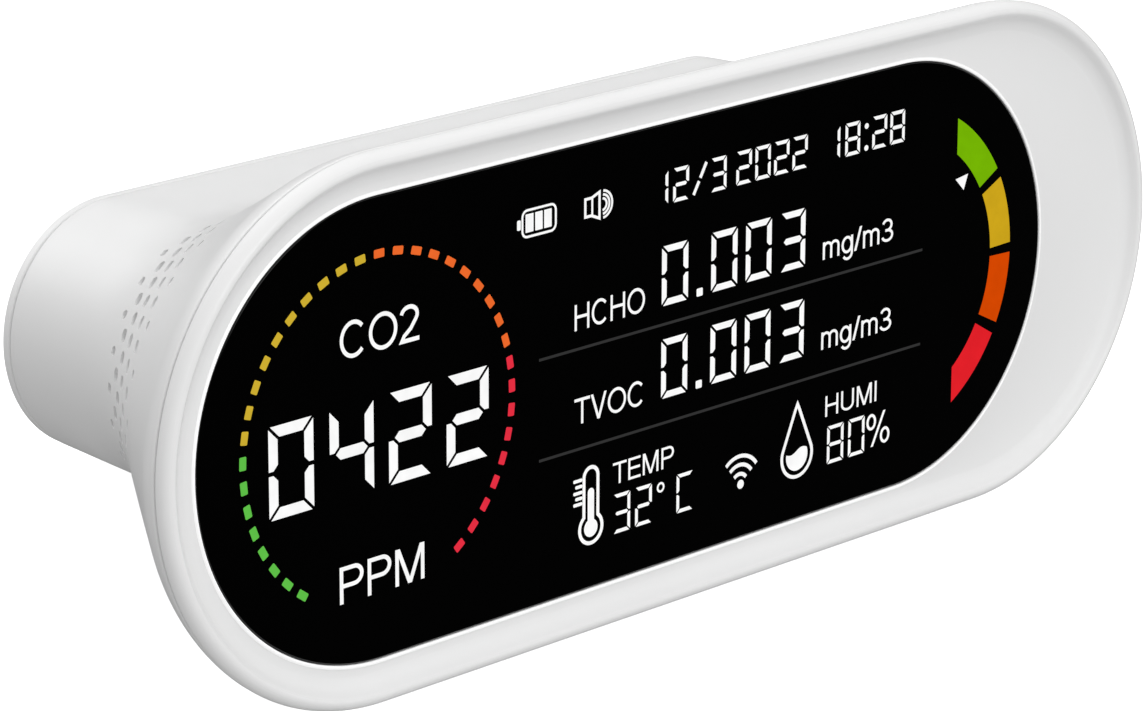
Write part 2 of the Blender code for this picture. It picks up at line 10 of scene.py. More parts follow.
import bmesh
import bpy
import numpy as np
from mathutils import Matrix, Vector, geometry


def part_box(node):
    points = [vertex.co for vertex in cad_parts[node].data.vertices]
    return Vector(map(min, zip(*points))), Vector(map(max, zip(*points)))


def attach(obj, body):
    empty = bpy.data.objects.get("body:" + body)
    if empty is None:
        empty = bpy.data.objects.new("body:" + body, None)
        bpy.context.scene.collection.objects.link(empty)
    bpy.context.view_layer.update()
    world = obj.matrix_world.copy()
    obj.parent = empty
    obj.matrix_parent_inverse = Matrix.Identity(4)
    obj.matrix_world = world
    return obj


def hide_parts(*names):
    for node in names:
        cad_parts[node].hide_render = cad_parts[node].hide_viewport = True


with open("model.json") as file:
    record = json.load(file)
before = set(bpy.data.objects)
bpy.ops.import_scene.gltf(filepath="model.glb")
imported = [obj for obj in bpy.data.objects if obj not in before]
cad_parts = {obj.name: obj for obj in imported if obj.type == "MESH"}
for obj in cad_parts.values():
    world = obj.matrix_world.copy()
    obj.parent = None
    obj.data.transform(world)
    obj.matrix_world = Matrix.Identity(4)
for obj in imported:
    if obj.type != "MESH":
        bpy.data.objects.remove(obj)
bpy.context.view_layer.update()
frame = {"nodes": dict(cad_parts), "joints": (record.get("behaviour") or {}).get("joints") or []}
nodes = frame["nodes"]

# -------------------- the display's own axes
# The whole monitor leans back on its feet, so every piece is worked out in the display's own
# axes, in millimetres: right along the face, back from the front of the lens, up along the
# face. The lean comes from a button's line of travel, the lens centre from the reflector.

MM = 0.001
press = next(joint for joint in frame["joints"] if joint["child"] == "power_button")
BACK = -np.array(press["axis"], float)
BACK /= np.linalg.norm(BACK)
RIGHT = np.array([1.0, 0.0, 0.0])
UP = np.cross(RIGHT, BACK)
REFLECTOR_DEPTH = 5.6  # from the front of the lens to the middle of the reflector behind it
low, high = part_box("segment_reflector")
LENS_CENTRE = (np.array(low) + np.array(high)) / 2 - BACK * REFLECTOR_DEPTH * MM


def leaned(points):
    """Display axes in millimetres to metres on the table: lens centre plus right, back and up shares."""
    return LENS_CENTRE + np.asarray(points, float) * MM @ np.array([RIGHT, BACK, UP])


# -------------------- camera
# A long lens a little above and to the left of the display, as in a catalogue picture. Its
# place and aim are in the display's axes and lean with it.

CAMERA_PLACE = (-441.2, -425.4, 186.3)
CAMERA_AIM = (-14.6, 0.0, 2.4)
CAMERA_ROLL = -0.14  # degrees
camera_data = bpy.data.cameras.new("catalogue_camera")
camera_data.sensor_width = 36.0
camera_data.lens = 153.9
camera_data.clip_start, camera_data.clip_end = 0.01, 50.0
camera = bpy.data.objects.new("catalogue_camera", camera_data)
bpy.context.scene.collection.objects.link(camera)
sight = Vector(leaned(CAMERA_AIM) - leaned(CAMERA_PLACE)).normalized()
across = sight.cross(Vector(UP)).normalized()
turned = Matrix.Rotation(math.radians(CAMERA_ROLL), 3, sight)
axes = Matrix((turned @ across, turned @ across.cross(sight), -sight)).transposed()
camera.matrix_world = Matrix.Translation(Vector(leaned(CAMERA_PLACE))) @ axes.to_4x4()
bpy.context.scene.camera = camera


# -------------------- white case: how its skins are made
# The case is two mouldings in white ABS, a display tray and a rear shell, whose outlines are
# all stadiums: two half circles joined by straight sides.


def linear(code):
    """A six-figure sRGB hex colour as linear RGBA."""
    channel = np.array([int(code[k : k + 2], 16) for k in (1, 3, 5)]) / 255
    return (*np.where(channel <= 0.04045, channel / 12.92, ((channel + 0.055) / 1.055) ** 2.4), 1.0)


def add_node(tree, kind, links=(), **settings):
    """Adds one shader node. Settings name its properties or sockets; links pair a socket with its source."""
    node = tree.nodes.new("ShaderNode" + kind)
    for name, value in settings.items():
        if name in node.inputs:
            node.inputs[name].default_value = value
        elif hasattr(node, name):
            setattr(node, name, value)
        else:
            node.inputs[name.replace("_", " ")].default_value = value
    for socket, source in dict(links).items():
        tree.links.new(source, node.inputs[socket])
    return node


def finish_of(name, colour, rough, **sockets):
    """An opaque finish, with its even values on the sockets of its Principled shader."""
    material = bpy.data.materials.new(name)
    material.use_nodes = True
    shader = material.node_tree.nodes["Principled BSDF"]
    shader.inputs["Base Color"].default_value = linear(colour)
    shader.inputs["Roughness"].default_value = rough
    for socket, value in sockets.items():
        shader.inputs[socket.replace("_", " ")].default_value = value
    return material


def mottle(material, tones, size_mm, detail=3.0, socket=None, spread=(0.35, 0.65)):
    """Noise of a real size mixes two tones: hex codes go on the colour, plain numbers on the roughness."""
    tree = material.node_tree
    place = add_node(tree, "TexCoord")
    noise = add_node(tree, "TexNoise", {"Vector": place.outputs["Object"]},
                     Scale=1 / (size_mm * MM), Detail=detail)
    ramp = add_node(tree, "ValToRGB", {"Fac": noise.outputs["Fac"]})
    for stop, where, tone in zip(ramp.color_ramp.elements, spread, tones):
        stop.position = where
        even = tone if np.ndim(tone) else (tone, tone, tone, 1.0)
        stop.color = linear(tone) if isinstance(tone, str) else even
    socket = socket or ("Base Color" if isinstance(tones[0], str) else "Roughness")
    tree.links.new(ramp.outputs["Color"], tree.nodes["Principled BSDF"].inputs[socket])


def grain(material, size_mm, height_mm, strength=1.0):
    """A moulded or rolled texture: noise of a real grain size as bump of a real height."""
    tree = material.node_tree
    place = add_node(tree, "TexCoord")
    noise = add_node(tree, "TexNoise", {"Vector": place.outputs["Object"]},
                     Scale=1 / (size_mm * MM), Detail=2.0)
    bump = add_node(tree, "Bump", {"Height": noise.outputs["Fac"]},
                    Strength=strength, Distance=height_mm * MM)
    tree.links.new(bump.outputs["Normal"], tree.nodes["Principled BSDF"].inputs["Normal"])


# White ABS, injection moulded in a fine spark-eroded tool: even white with a soft satin sheen,
# and a grain of about 0.25 mm that only just breaks up the highlights.
white_abs = finish_of("white_abs_satin", "#f4f4f4", 0.38, IOR=1.53)
mottle(white_abs, ("#f4f4f4", "#f5f5f5"), size_mm=14)
mottle(white_abs, (0.36, 0.41), size_mm=3)
grain(white_abs, size_mm=0.25, height_mm=0.004, strength=0.35)

MERGE = 1e-7  # metres within which points count as one
CREASE = 38  # degrees between faces, above which their edge is drawn sharp


def skin(name, points, faces, finishes, body="housing", stands_for=(), slot=None, crease=CREASE,
         finish_index=None):
    """Puts points, in display axes and millimetres, and faces into a mesh that rides on a CAD body.

    The faces are rows of point numbers. Doubles are merged, then the normals turned outwards.
    """
    mesh = bpy.data.meshes.new(name)
    mesh.from_pydata(leaned(points).tolist(), [], [list(face) for face in faces])
    if finish_index is not None:
        mesh.polygons.foreach_set("material_index", np.asarray(finish_index, np.int32))
    data = bmesh.new()
    data.from_mesh(mesh)
    bmesh.ops.remove_doubles(data, verts=data.verts, dist=MERGE)
    bmesh.ops.recalc_face_normals(data, faces=data.faces)
    data.to_mesh(mesh)
    data.free()
    mesh.shade_smooth()
    mesh.set_sharp_from_angle(angle=math.radians(crease))
    for finish in finishes:
        mesh.materials.append(finish)
    piece = bpy.data.objects.new(name, mesh)
    bpy.context.scene.collection.objects.link(piece)
    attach(piece, body)
    if stands_for:
        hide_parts(*stands_for)
    return piece


def quads(rows, columns, wrap_rows=False, wrap_columns=True, start=0):
    """Four-cornered faces between neighbouring rows of a grid of points, whole arrays at a time."""
    row = np.arange(rows if wrap_rows else rows - 1)[:, None]
    column = np.arange(columns if wrap_columns else columns - 1)[None, :]
    around = ((0, 0), (0, 1), (1, 1), (1, 0))
    corners = [(row + i) % rows * columns + (column + j) % columns for i, j in around]
    return start + np.stack(np.broadcast_arrays(*corners), -1).reshape(-1, 4)


def capped(rings, start=0):
    """Faces of a stack of closed rings of points, with a flat face over each end."""
    count, columns = rings.shape[0] * rings.shape[1], rings.shape[1]
    ends = (start, start + columns), (start + count - columns, start + count)
    return quads(*rings.shape[:2], start=start).tolist() + [list(range(*end)) for end in ends]


def stadium_track(arc, straight):
    """Way round a stadium: the arc angles of the right end, straight steps, the left end mirrored.

    Each step is a share of the half-straight, +1 to -1, and the angle of the outward direction.
    """
    along = np.linspace(1, -1, straight + 2)[1:-1]
    share = np.concatenate([np.ones(len(arc)), along, -np.ones(len(arc)), -along])
    angle = np.concatenate([arc, np.full(straight, 90.0), 180 - arc[::-1], np.full(straight, 270.0)])
    return share, np.radians(angle)


def stadium_rings(track, depth, radius, half_straight, centre_x, centre_z):
    """Point = centre + share x half-straight to the right + radius x outward direction, at each depth."""
    share, angle = track
    ring_radius, half, x, z = (np.broadcast_to(np.asarray(value, float), np.shape(depth))[:, None]
                               for value in (radius, half_straight, centre_x, centre_z))
    right = x + share * half + ring_radius * np.cos(angle)
    up = z + ring_radius * np.sin(angle)
    return np.stack([right, np.broadcast_to(np.asarray(depth, float)[:, None], right.shape), up], -1)


RIM_CENTRE, RIM_HALF, RIM_RADIUS, RIM_SEAM = 8.2, 57.0, 35.94, 0.42
BODY_HALF, BODY_RADIUS, BODY_RISE = 55.0, 17.04, 2.2
BODY_END, COVER_SEAM = 55.44, 53.84
ARC = np.linspace(-90, 90, 97)  # angles round a stadium's right end
STRAIGHT = 24  # steps along a stadium's straight sides

# -------------------- front bezel
# The display tray is one moulding: a rolled lip, a dished inner slope, a flat floor that is
# widest at the right, and a pocket for the lens whose edge carries a fine raised bead.

LENS_HALF, POCKET_RADIUS, POCKET_DEPTH, WINDOW_RADIUS = 48.5, 30.15, 2.0, 25.5
FLOOR = 0.15
PLUG_RADIUS, PLUG_DEPTH, REBATE_RADIUS, REBATE_DEPTH = 31.0, 4.2, 33.0, 2.2
lip = np.array(
    [
        (0.42, 35.62), (0.38, 35.80), (0.24, 35.92), (-0.02, 35.89), (-0.35, 35.80), (-0.67, 35.66),
        (-0.95, 35.47), (-1.18, 35.24), (-1.36, 34.97), (-1.46, 34.68), (-1.485, 34.42), (-1.43, 34.18),
        (-1.30, 33.97), (-1.08, 33.74), (-0.82, 33.49), (-0.55, 33.21), (-0.30, 32.83), (-0.10, 32.40),
        (0.05, 31.95), (0.13, 31.60),
    ]
)  # depth and radius round the rim's own centre lines
bead = [(FLOOR, 30.78), (0.12, 30.66), (0.00, 30.55), (-0.06, 30.45), (-0.08, 30.35), (-0.04, 30.24),
        (0.05, 30.17), (0.20, POCKET_RADIUS)]
rear_face = [(POCKET_DEPTH, POCKET_RADIUS), (POCKET_DEPTH, WINDOW_RADIUS), (PLUG_DEPTH, WINDOW_RADIUS)]


def along_curve(points, steps):
    """A smooth run through a few points: each pair is joined by the Catmull-Rom cubic of its neighbours."""
    p = np.vstack([2 * points[0] - points[1], points, 2 * points[-1] - points[-2]])
    t = np.linspace(0, 1, steps, endpoint=False)[None, :, None]
    a, b, c, d = (p[k : len(p) - 3 + k][:, None, :] for k in range(4))
    run = 0.5 * (2 * b + (c - a) * t + (2 * a - 5 * b + 4 * c - d) * t**2 + (3 * b - a - 3 * c + d) * t**3)
    return np.vstack([run.reshape(-1, points.shape[1]), points[-1:]])


fine_lip = along_curve(lip, 2)
back_of_rim = [(PLUG_DEPTH, PLUG_RADIUS), (REBATE_DEPTH, PLUG_RADIUS), (REBATE_DEPTH, REBATE_RADIUS)]
rows = [(y, r, RIM_HALF, RIM_CENTRE) for y, r in [(RIM_SEAM, REBATE_RADIUS), *fine_lip]]
rows += [(y, r, LENS_HALF, 0.0) for y, r in bead + rear_face]
rows += [(y, r, RIM_HALF, RIM_CENTRE) for y, r in back_of_rim]
rows = np.array(rows)
track = stadium_track(ARC, STRAIGHT)
rings = stadium_rings(track, rows[:, 0], rows[:, 1], rows[:, 2], rows[:, 3], 0.0)
faces = quads(len(rows), len(track[0]), wrap_rows=True)
# The bead is polished in the tool, smoother than the rest of the case. Its whiter colour and a slight glow are
# a painted highlight that draws a clean bright line round the lens.
bead_painted_glow = finish_of("white_abs_polished", "#fbfbfb", 0.12, IOR=1.53,
                         Emission_Color=linear("#ffffff"), Emission_Strength=0.2)
mottle(bead_painted_glow, (0.09, 0.15), size_mm=4)
bead_rows = range(len(fine_lip) + 2, len(fine_lip) + len(bead))
# The crest of the lip has a glossier finish that reflects the lamps more strongly, and a whiter colour that is
# a painted highlight: together they draw a brighter line than the walls beside it.
crest_gloss_painted_highlight = finish_of("white_abs_burnished", "#fafafa", 0.2, IOR=1.53, Specular_IOR_Level=1.0)
mottle(crest_gloss_painted_highlight, (0.17, 0.23), size_mm=4)
crest_rows = range(17, 24)  # the rows of the fine lip on either side of its foremost point
row_of_face = np.arange(len(faces)) // len(track[0])
finish_of_face = np.isin(row_of_face, bead_rows) + 2 * np.isin(row_of_face, crest_rows)
skin("front_bezel_tray", rings.reshape(-1, 3), faces, [white_abs, bead_painted_glow, crest_gloss_painted_highlight],
     stands_for=["front_bezel"], slot="white_abs", finish_index=finish_of_face)

# -------------------- rear shell
# The rear shell runs from the rim seam down a straight cone into a slightly tapered body. It is
# one moulding 2 mm thick, with a band of small vents round the cone at each end.

WALL = 2.0
FLARE_START, FLARE_RADIUS, FLARE_SLOPE, FLARE_BLEND = 3.0, 35.41, 0.612, 4.63
BODY_TAPER, RIM_SLOPE, RIM_BLEND, RISE_POWER = 0.0427, 0.12, 1.13, 1.94


def smooth_min(a, b, width):
    """The lower of two values, with the crossing rounded by a parabola over the given width."""
    share = np.clip(0.5 + 0.5 * (a - b) / width, 0, 1)
    return a * (1 - share) + b * share - width * share * (1 - share)


def shell_section(depth):
    """Radius, half-straight and centre height of the shell: cone over tapered body, under the rim wall."""
    cone = FLARE_RADIUS - FLARE_SLOPE * (depth - FLARE_START)
    body = BODY_RADIUS + BODY_TAPER * (BODY_END - depth)
    rim_wall = RIM_RADIUS - RIM_SLOPE * (depth - RIM_SEAM)
    radius = smooth_min(rim_wall, -smooth_min(-cone, -body, FLARE_BLEND), RIM_BLEND)
    share = np.clip((RIM_RADIUS - radius) / (RIM_RADIUS - BODY_RADIUS), 0, None)
    return radius, RIM_HALF + (BODY_HALF - RIM_HALF) * share, BODY_RISE * share**RISE_POWER


VENT_PITCH = 7.0  # degrees between rows of vents
VENT_MIDDLE = 3.0  # degrees from the right end's middle; the left end is its mirror
VENT_ROWS = 21
VENT_RADIUS = 0.80  # half its width; a vent is longer round the cone, by VENT_LONG
VENT_LONG = 1.15
VENT_DEPTH = 1.8
VENT_CELL = 0.24  # spacing of the mesh through the vents
VENT_BAND = (17.4, 31.8)
WIDE_ROW, NARROW_ROW = (18.9, 23.0, 26.7, 30.3), (21.0, 25.1, 28.2)

probe = np.linspace(0.5, BODY_END, 4000)
meridian = np.concatenate([[0], np.cumsum(np.hypot(np.diff(probe), np.diff(shell_section(probe)[0])))])
band_ends = np.interp(VENT_BAND, probe, meridian)
band_rows = np.arange(band_ends[0], band_ends[1], VENT_CELL)
depth = np.concatenate(
    [[0.72, 0.74, 0.80, 0.95], np.linspace(1.2, 17.0, 34), np.interp(band_rows, meridian, probe),
     np.linspace(32.4, 53.2, 24), [53.38, 53.49, 53.54]]
)
inset = np.zeros(len(depth))
inset[:4], inset[-3:] = (0.36, 0.20, 0.09, 0.01), (0.03, 0.13, 0.34)
radius, half, rise = shell_section(depth)
vent_arc = np.arange(-76, 76.1, 0.6) + VENT_MIDDLE
arc = np.concatenate([np.linspace(-90, vent_arc[0], 7)[:-1], vent_arc, np.linspace(vent_arc[-1], 90, 6)[1:]])
track = stadium_track(arc, 22)

# Vents: the grid's points next to a vent's edge move onto it, those inside sink into the wall.
row_number = np.arange(VENT_ROWS) - VENT_ROWS // 2
vents = []
for row in row_number:
    depths = NARROW_ROW if row % 2 else WIDE_ROW
    depths = depths[1:3] if abs(row) == VENT_ROWS // 2 else depths
    vents += [(math.radians(VENT_MIDDLE + VENT_PITCH * row), y) for y in depths]
vents = np.array(vents)
turn = np.where(track[0] < 0, math.pi - track[1], track[1])  # both ends measured as the right one
on_arc = np.abs(track[0]) == 1
length = np.interp(depth, probe, meridian)
vent_length = np.interp(vents[:, 1], probe, meridian)
END_VENT = 0.72  # size of the first and last vent of a wide row, as a share of the others
vent_size = np.where(np.isin(vents[:, 1], (WIDE_ROW[0], WIDE_ROW[-1])), END_VENT, 1.0) * VENT_RADIUS
aside = (turn[None, :, None] - vents[:, 0]) * radius[:, None, None] / VENT_LONG
ahead = np.broadcast_to(length[:, None, None] - vent_length, aside.shape)
reach = np.hypot(aside, ahead)
nearest = reach.argmin(-1)
pick = lambda values: np.take_along_axis(values, nearest[..., None], -1)[..., 0]
reach, aside, ahead, size = pick(reach), pick(aside), pick(ahead), vent_size[nearest]
inside = (reach < size + 0.5 * VENT_CELL) & on_arc[None, :]
edge = inside & (reach >= size - 0.5 * VENT_CELL)
foot = inside & (reach < size - 0.5 * VENT_CELL) & (reach >= size - 1.5 * VENT_CELL)
DRAFT = 0.05  # a vent's foot is this much narrower than its mouth, as a moulding needs
target = np.where(edge, size, np.where(foot, size - DRAFT, reach))
scale = target / np.maximum(reach, 1e-6)
new_length = np.where(inside, vent_length[nearest] + ahead * scale, length[:, None])
new_turn = np.where(inside, vents[nearest, 0] + aside * scale * VENT_LONG / radius[:, None], turn[None, :])
new_depth = np.interp(new_length, meridian, probe)
sunk = np.where(inside & ~edge, VENT_DEPTH, 0.0)
new_angle = np.where(track[0][None, :] < 0, math.pi - new_turn, new_turn)
new_radius, new_half, new_rise = shell_section(new_depth)
slope = np.gradient(shell_section(probe)[0], probe)
steep = np.interp(new_depth, probe, slope)
square = np.hypot(1, steep)  # a point sinks square to the surface: inwards, and forwards on the cone
level = new_radius - inset[:, None] - sunk / square
right = RIM_CENTRE + track[0] * new_half + level * np.cos(new_angle)
up = new_rise + level * np.sin(new_angle)
outer = np.stack([right, new_depth + sunk * steep / square, up], -1)
inner_depth = np.array([53.54, 45.0, 36.0, 31.0, 27.0, 23.0, 19.0, 12.0, 5.0, 3.0, 0.72])
r, h, z = shell_section(inner_depth)
thick = np.where((inner_depth > 2) & (inner_depth < 33), WALL * math.hypot(1, FLARE_SLOPE), WALL)
inner = stadium_rings(track, inner_depth, r - thick, h, RIM_CENTRE, z)
rings = np.vstack([outer, inner])
# Painted shade: the floor of each vent is coloured a mottled mid grey, standing in for the shade deep inside
# the hole.
vent_painted_shade = finish_of("grey_nylon_gauze", "#6e6f70", 0.85)
mottle(vent_painted_shade, ("#58595a", "#7e7f80"), size_mm=0.3)
deep = np.vstack([sunk > 0, np.zeros(inner.shape[:2], bool)])
deep &= np.roll(deep, -1, 0)
deep &= np.roll(deep, -1, 1)
skin("rear_shell_moulding", rings.reshape(-1, 3), quads(len(rings), len(track[0]), wrap_rows=True),
     [white_abs, vent_painted_shade], stands_for=["rear_shell"], slot="white_abs", finish_index=deep.ravel().astype(int))

# -------------------- rear cover
# A flat end cap with a small rounded edge, snapped and screwed onto the shell: three round
# button holes, a slot for the charging socket and four sunk screw seats, one near each corner.

BUTTON_X = {name: (np.array(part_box(name)[0]) + np.array(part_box(name)[1]))[0] / 2 / MM - LENS_CENTRE[0] / MM
            for name in ("power_button", "menu_button", "set_button")}
socket_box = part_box("usb_socket")
SOCKET_X = (socket_box[0][0] + socket_box[1][0]) / 2 / MM - LENS_CENTRE[0] / MM
SCREW_SEATS = [(RIM_CENTRE + 50.0 * i, BODY_RISE + 10.5 * j) for i in (-1, 1) for j in (-1, 1)]
HOLE_STEPS = 48


def hole_rings(x, hole_radius, profile, half_straight=0.0):
    """A round or slotted hole's wall: stadium rings at the profile's depths, widened by its amounts."""
    way = stadium_track(np.linspace(-90, 90, HOLE_STEPS // 2), 0)
    depths, widths = np.array(profile, float).T
    return stadium_rings(way, depths, hole_radius + widths, half_straight, x[0], x[1])


def loop_faces(loops, start_of):
    """Flat faces between an outline and the holes in it, from a triangulation of all the loops at once."""
    flat = [[Vector((p[0], p[2], 0)) for p in loop] for loop in loops]
    numbers = np.concatenate([start + np.arange(len(loop)) for start, loop in zip(start_of, loops)])
    return numbers[np.array(geometry.tessellate_polygon(flat))].tolist()


edge_profile = [(COVER_SEAM, -0.26), (COVER_SEAM + 0.05, -0.12), (COVER_SEAM + 0.14, 0.0),
                (54.84, 0.0), (54.98, -0.02), (55.11, -0.10), (55.22, -0.22),
                (55.32, -0.37), (55.39, -0.55), (BODY_END, -0.85), (BODY_END, -1.05)]
depths, widths = np.array(edge_profile).T
track = stadium_track(ARC, STRAIGHT)
parts = [stadium_rings(track, depths, BODY_RADIUS + widths, BODY_HALF, RIM_CENTRE, BODY_RISE)]
soft_edge = [(BODY_END, 0.36), (BODY_END, 0.22), (BODY_END - 0.06, 0.09), (BODY_END - 0.2, 0.0)]
for x in BUTTON_X.values():
    parts.append(hole_rings((x, BODY_RISE), 3.5, soft_edge + [(COVER_SEAM, 0.0)]))
parts.append(hole_rings((SOCKET_X, BODY_RISE), 1.95, soft_edge + [(COVER_SEAM, 0.0)], 2.85))
for seat in SCREW_SEATS:
    parts.append(hole_rings(seat, 2.6, soft_edge + [(BODY_END - 1.45, 0.0)]))
points, faces, starts = [], [], []
for part in parts:
    starts.append(sum(len(p) for p in points))
    points.append(part.reshape(-1, 3))
    faces += quads(part.shape[0], part.shape[1], start=starts[-1]).tolist()
last = [start + (part.shape[0] - 1) * part.shape[1] for start, part in zip(starts, parts)]
faces += loop_faces([parts[0][-1]] + [p[0] for p in parts[1:]], [last[0]] + starts[1:])
faces += loop_faces([parts[0][0]] + [p[-1] for p in parts[1:5]], [starts[0]] + last[1:5])
faces += [list(range(start, start + part.shape[1])) for start, part in zip(last[5:], parts[5:])]
skin("rear_cover_cap", np.vstack(points), faces, [white_abs], stands_for=["rear_cover"], slot="white_abs")

# -------------------- buttons
# Three round white ABS caps, each in its own hole, with a rounded edge and a shallow dish for a
# fingertip. Each one slides 0.4 mm onto a small switch.


def turned_piece(name, profile, centre, finish, steps=64, **words):
    """A turned shape: each (depth, radius) of the profile carried round the line through centre."""
    angle = np.linspace(0, 2 * math.pi, steps, endpoint=False)
    depths, radii = np.array(profile, float).T
    rings = np.stack([centre[0] + radii[:, None] * np.cos(angle),
                      np.broadcast_to(depths[:, None], (len(depths), steps)),
                      centre[1] + radii[:, None] * np.sin(angle)], -1)
    return skin(name, rings.reshape(-1, 3), capped(rings), [finish], **words)


BUTTON_TOP = BODY_END + 0.8
cap = [(51.1, 4.4), (52.1, 4.4), (52.1, 3.2), (BUTTON_TOP - 0.32, 3.2), (BUTTON_TOP - 0.17, 3.15),
       (BUTTON_TOP - 0.06, 3.03), (BUTTON_TOP, 2.84),
       (BUTTON_TOP - 0.02, 2.6), (BUTTON_TOP - 0.10, 2.1), (BUTTON_TOP - 0.17, 1.5),
       (BUTTON_TOP - 0.21, 0.8), (BUTTON_TOP - 0.22, 0.2)]
for name, x in BUTTON_X.items():
    turned_piece(f"{name}_cap", cap, (x, BODY_RISE), white_abs, body=name, stands_for=[name], slot="white_abs")

# -------------------- charging socket
# A USB-C receptacle: a seamless drawn steel shell, nickel plated, round a thin black tongue.

nickel = finish_of("nickel_plated_steel", "#c9c8c4", 0.24, Metallic=1.0)
mottle(nickel, (0.18, 0.3), size_mm=1.2)
black_nylon = finish_of("black_glass_filled_nylon", "#17181a", 0.5, IOR=1.53)
mottle(black_nylon, ("#141517", "#1c1d20"), size_mm=1.5)
grain(black_nylon, size_mm=0.3, height_mm=0.01, strength=0.5)
MOUTH = BODY_END - 0.25
socket_profile = [(48.0, 0.0), (MOUTH - 0.08, 0.0), (MOUTH, -0.08), (MOUTH, -0.27), (MOUTH - 0.1, -0.35),
                  (49.4, -0.35)]
shell_rings = hole_rings((SOCKET_X, BODY_RISE), 1.65, socket_profile, 2.85)
faces = capped(shell_rings)
tongue = hole_rings((SOCKET_X, BODY_RISE), 0.35, [(49.0, 0.0), (MOUTH - 1.0, 0.0), (MOUTH - 0.9, -0.1)], 3.0)
tongue_faces = capped(tongue, shell_rings.shape[0] * shell_rings.shape[1])
both = np.vstack([shell_rings.reshape(-1, 3), tongue.reshape(-1, 3)])
skin("charging_socket", both, faces + tongue_faces, [nickel, black_nylon],
     stands_for=["usb_socket"], slot="plated_steel", finish_index=[0] * len(faces) + [1] * len(tongue_faces))

# -------------------- cover screws
# Four pan-head self-tapping screws in zinc-plated steel, with a cross recess, one in each seat.

zinc = finish_of("zinc_plated_steel", "#b9bbbd", 0.3, Metallic=1.0)
mottle(zinc, ("#a9acb0", "#c6c8ca"), size_mm=0.9)
mottle(zinc, (0.24, 0.4), size_mm=0.6)
HEAD_RADIUS, HEAD_TOP, HEAD_FOOT = 2.2, BODY_END - 0.25, BODY_END - 1.4
steps = 96
angle = np.linspace(0, 2 * math.pi, steps, endpoint=False)[None, :]
spread = np.concatenate([np.linspace(0.02, 1.5, 26), np.linspace(1.56, HEAD_RADIUS, 9)])[:, None]
x, z = spread * np.cos(angle), spread * np.sin(angle)
dome = HEAD_TOP - 0.55 * (spread / HEAD_RADIUS) ** 4 - 0.10 * (spread / HEAD_RADIUS) ** 2
arm = np.minimum(np.abs(x), np.abs(z))
tip = np.maximum(np.abs(x), np.abs(z))
recess = np.clip((0.30 - arm) / 0.07, 0, 1) * np.clip((1.25 - tip) / 0.12, 0, 1)
head = np.stack([x, np.broadcast_to(dome, x.shape) - 0.55 * recess, z], -1)
rim_x, rim_z = HEAD_RADIUS * np.cos(angle), HEAD_RADIUS * np.sin(angle)
under = np.stack([rim_x, np.full_like(angle, HEAD_FOOT), rim_z], -1)
head = np.vstack([head, under])
faces = capped(head)
for number, (i, j) in enumerate(((-1, -1), (-1, 1), (1, -1), (1, 1)), 1):
    x, z = RIM_CENTRE + 50.0 * i, BODY_RISE + 10.5 * j
    turn = math.radians(17 + 41 * number)  # no two screws stop at the same angle
    spin = np.array([[math.cos(turn), 0, -math.sin(turn)], [0, 1, 0], [math.sin(turn), 0, math.cos(turn)]])
    skin(f"cover_screw_head_{number}", head.reshape(-1, 3) @ spin + (x, 0, z), faces, [zinc],
         stands_for=[f"cover_screw_{number}"], slot="plated_steel", crease=30)

# -------------------- lens
# One piece of black-tinted acrylic with a fine bevel, bonded into the tray's pocket. The print
# behind it blacks out everything but the segments, so between them it is deep black.

black_acrylic = finish_of("black_tinted_acrylic", "#010101", 0.05, IOR=1.49)
mottle(black_acrylic, (0.035, 0.06), size_mm=9)
LENS_RADIUS, LENS_THICKNESS = 30.0, 1.2
track = stadium_track(ARC, STRAIGHT)
profile = np.array([(LENS_THICKNESS, 0.0), (0.22, 0.0), (0.12, -0.03), (0.03, -0.12), (0.0, -0.24)])
rings = stadium_rings(track, profile[:, 0], LENS_RADIUS + profile[:, 1], LENS_HALF, 0.0, 0.0)
skin("lens_window", rings.reshape(-1, 3), capped(rings), [black_acrylic], stands_for=["display_lens"],
     slot="black_lens")

# -------------------- lit segments: how they are made
# Each lit area is a window in the black print with a light cell behind it. Here every one is a
# thin plate 0.03 mm proud of the lens, with its outline in display millimetres.

PLATE_FRONT, PLATE_BACK = -0.03, 0.04
PANEL = 60.0  # height of the lens: layouts below are in shares of it, from the lens centre


def lit_finish(name, colour):
    """A backlit colour cell: emission that varies a little, as a light guide spreads it unevenly."""
    material = finish_of(name, "#000000", 0.5, Specular_IOR_Level=0.0, Emission_Strength=1.0)
    tone = np.array(linear(colour))
    dim = tone * (0.93, 0.93, 0.93, 1)
    mottle(material, (dim, tone), size_mm=2.5, socket="Emission Color")
    return material


lit_white = lit_finish("lit_white_cell", "#fefefe")
lit_green = lit_finish("lit_green_cell", "#5fc048")
lit_yellow = lit_finish("lit_yellow_cell", "#d0b032")
lit_orange = lit_finish("lit_orange_cell", "#ee6a2c")
lit_red = lit_finish("lit_red_cell", "#e62f42")


def plate(outline):
    """A thin closed plate over an outline of (x, z): its two faces and its edge."""
    outline = np.asarray(outline, float)
    count = len(outline)
    front = np.insert(outline, 1, PLATE_FRONT, axis=1)
    back = np.insert(outline, 1, PLATE_BACK, axis=1)
    faces = [list(range(count)), list(range(2 * count - 1, count - 1, -1))]
    faces += quads(2, count).tolist()
    return np.vstack([front, back]), faces


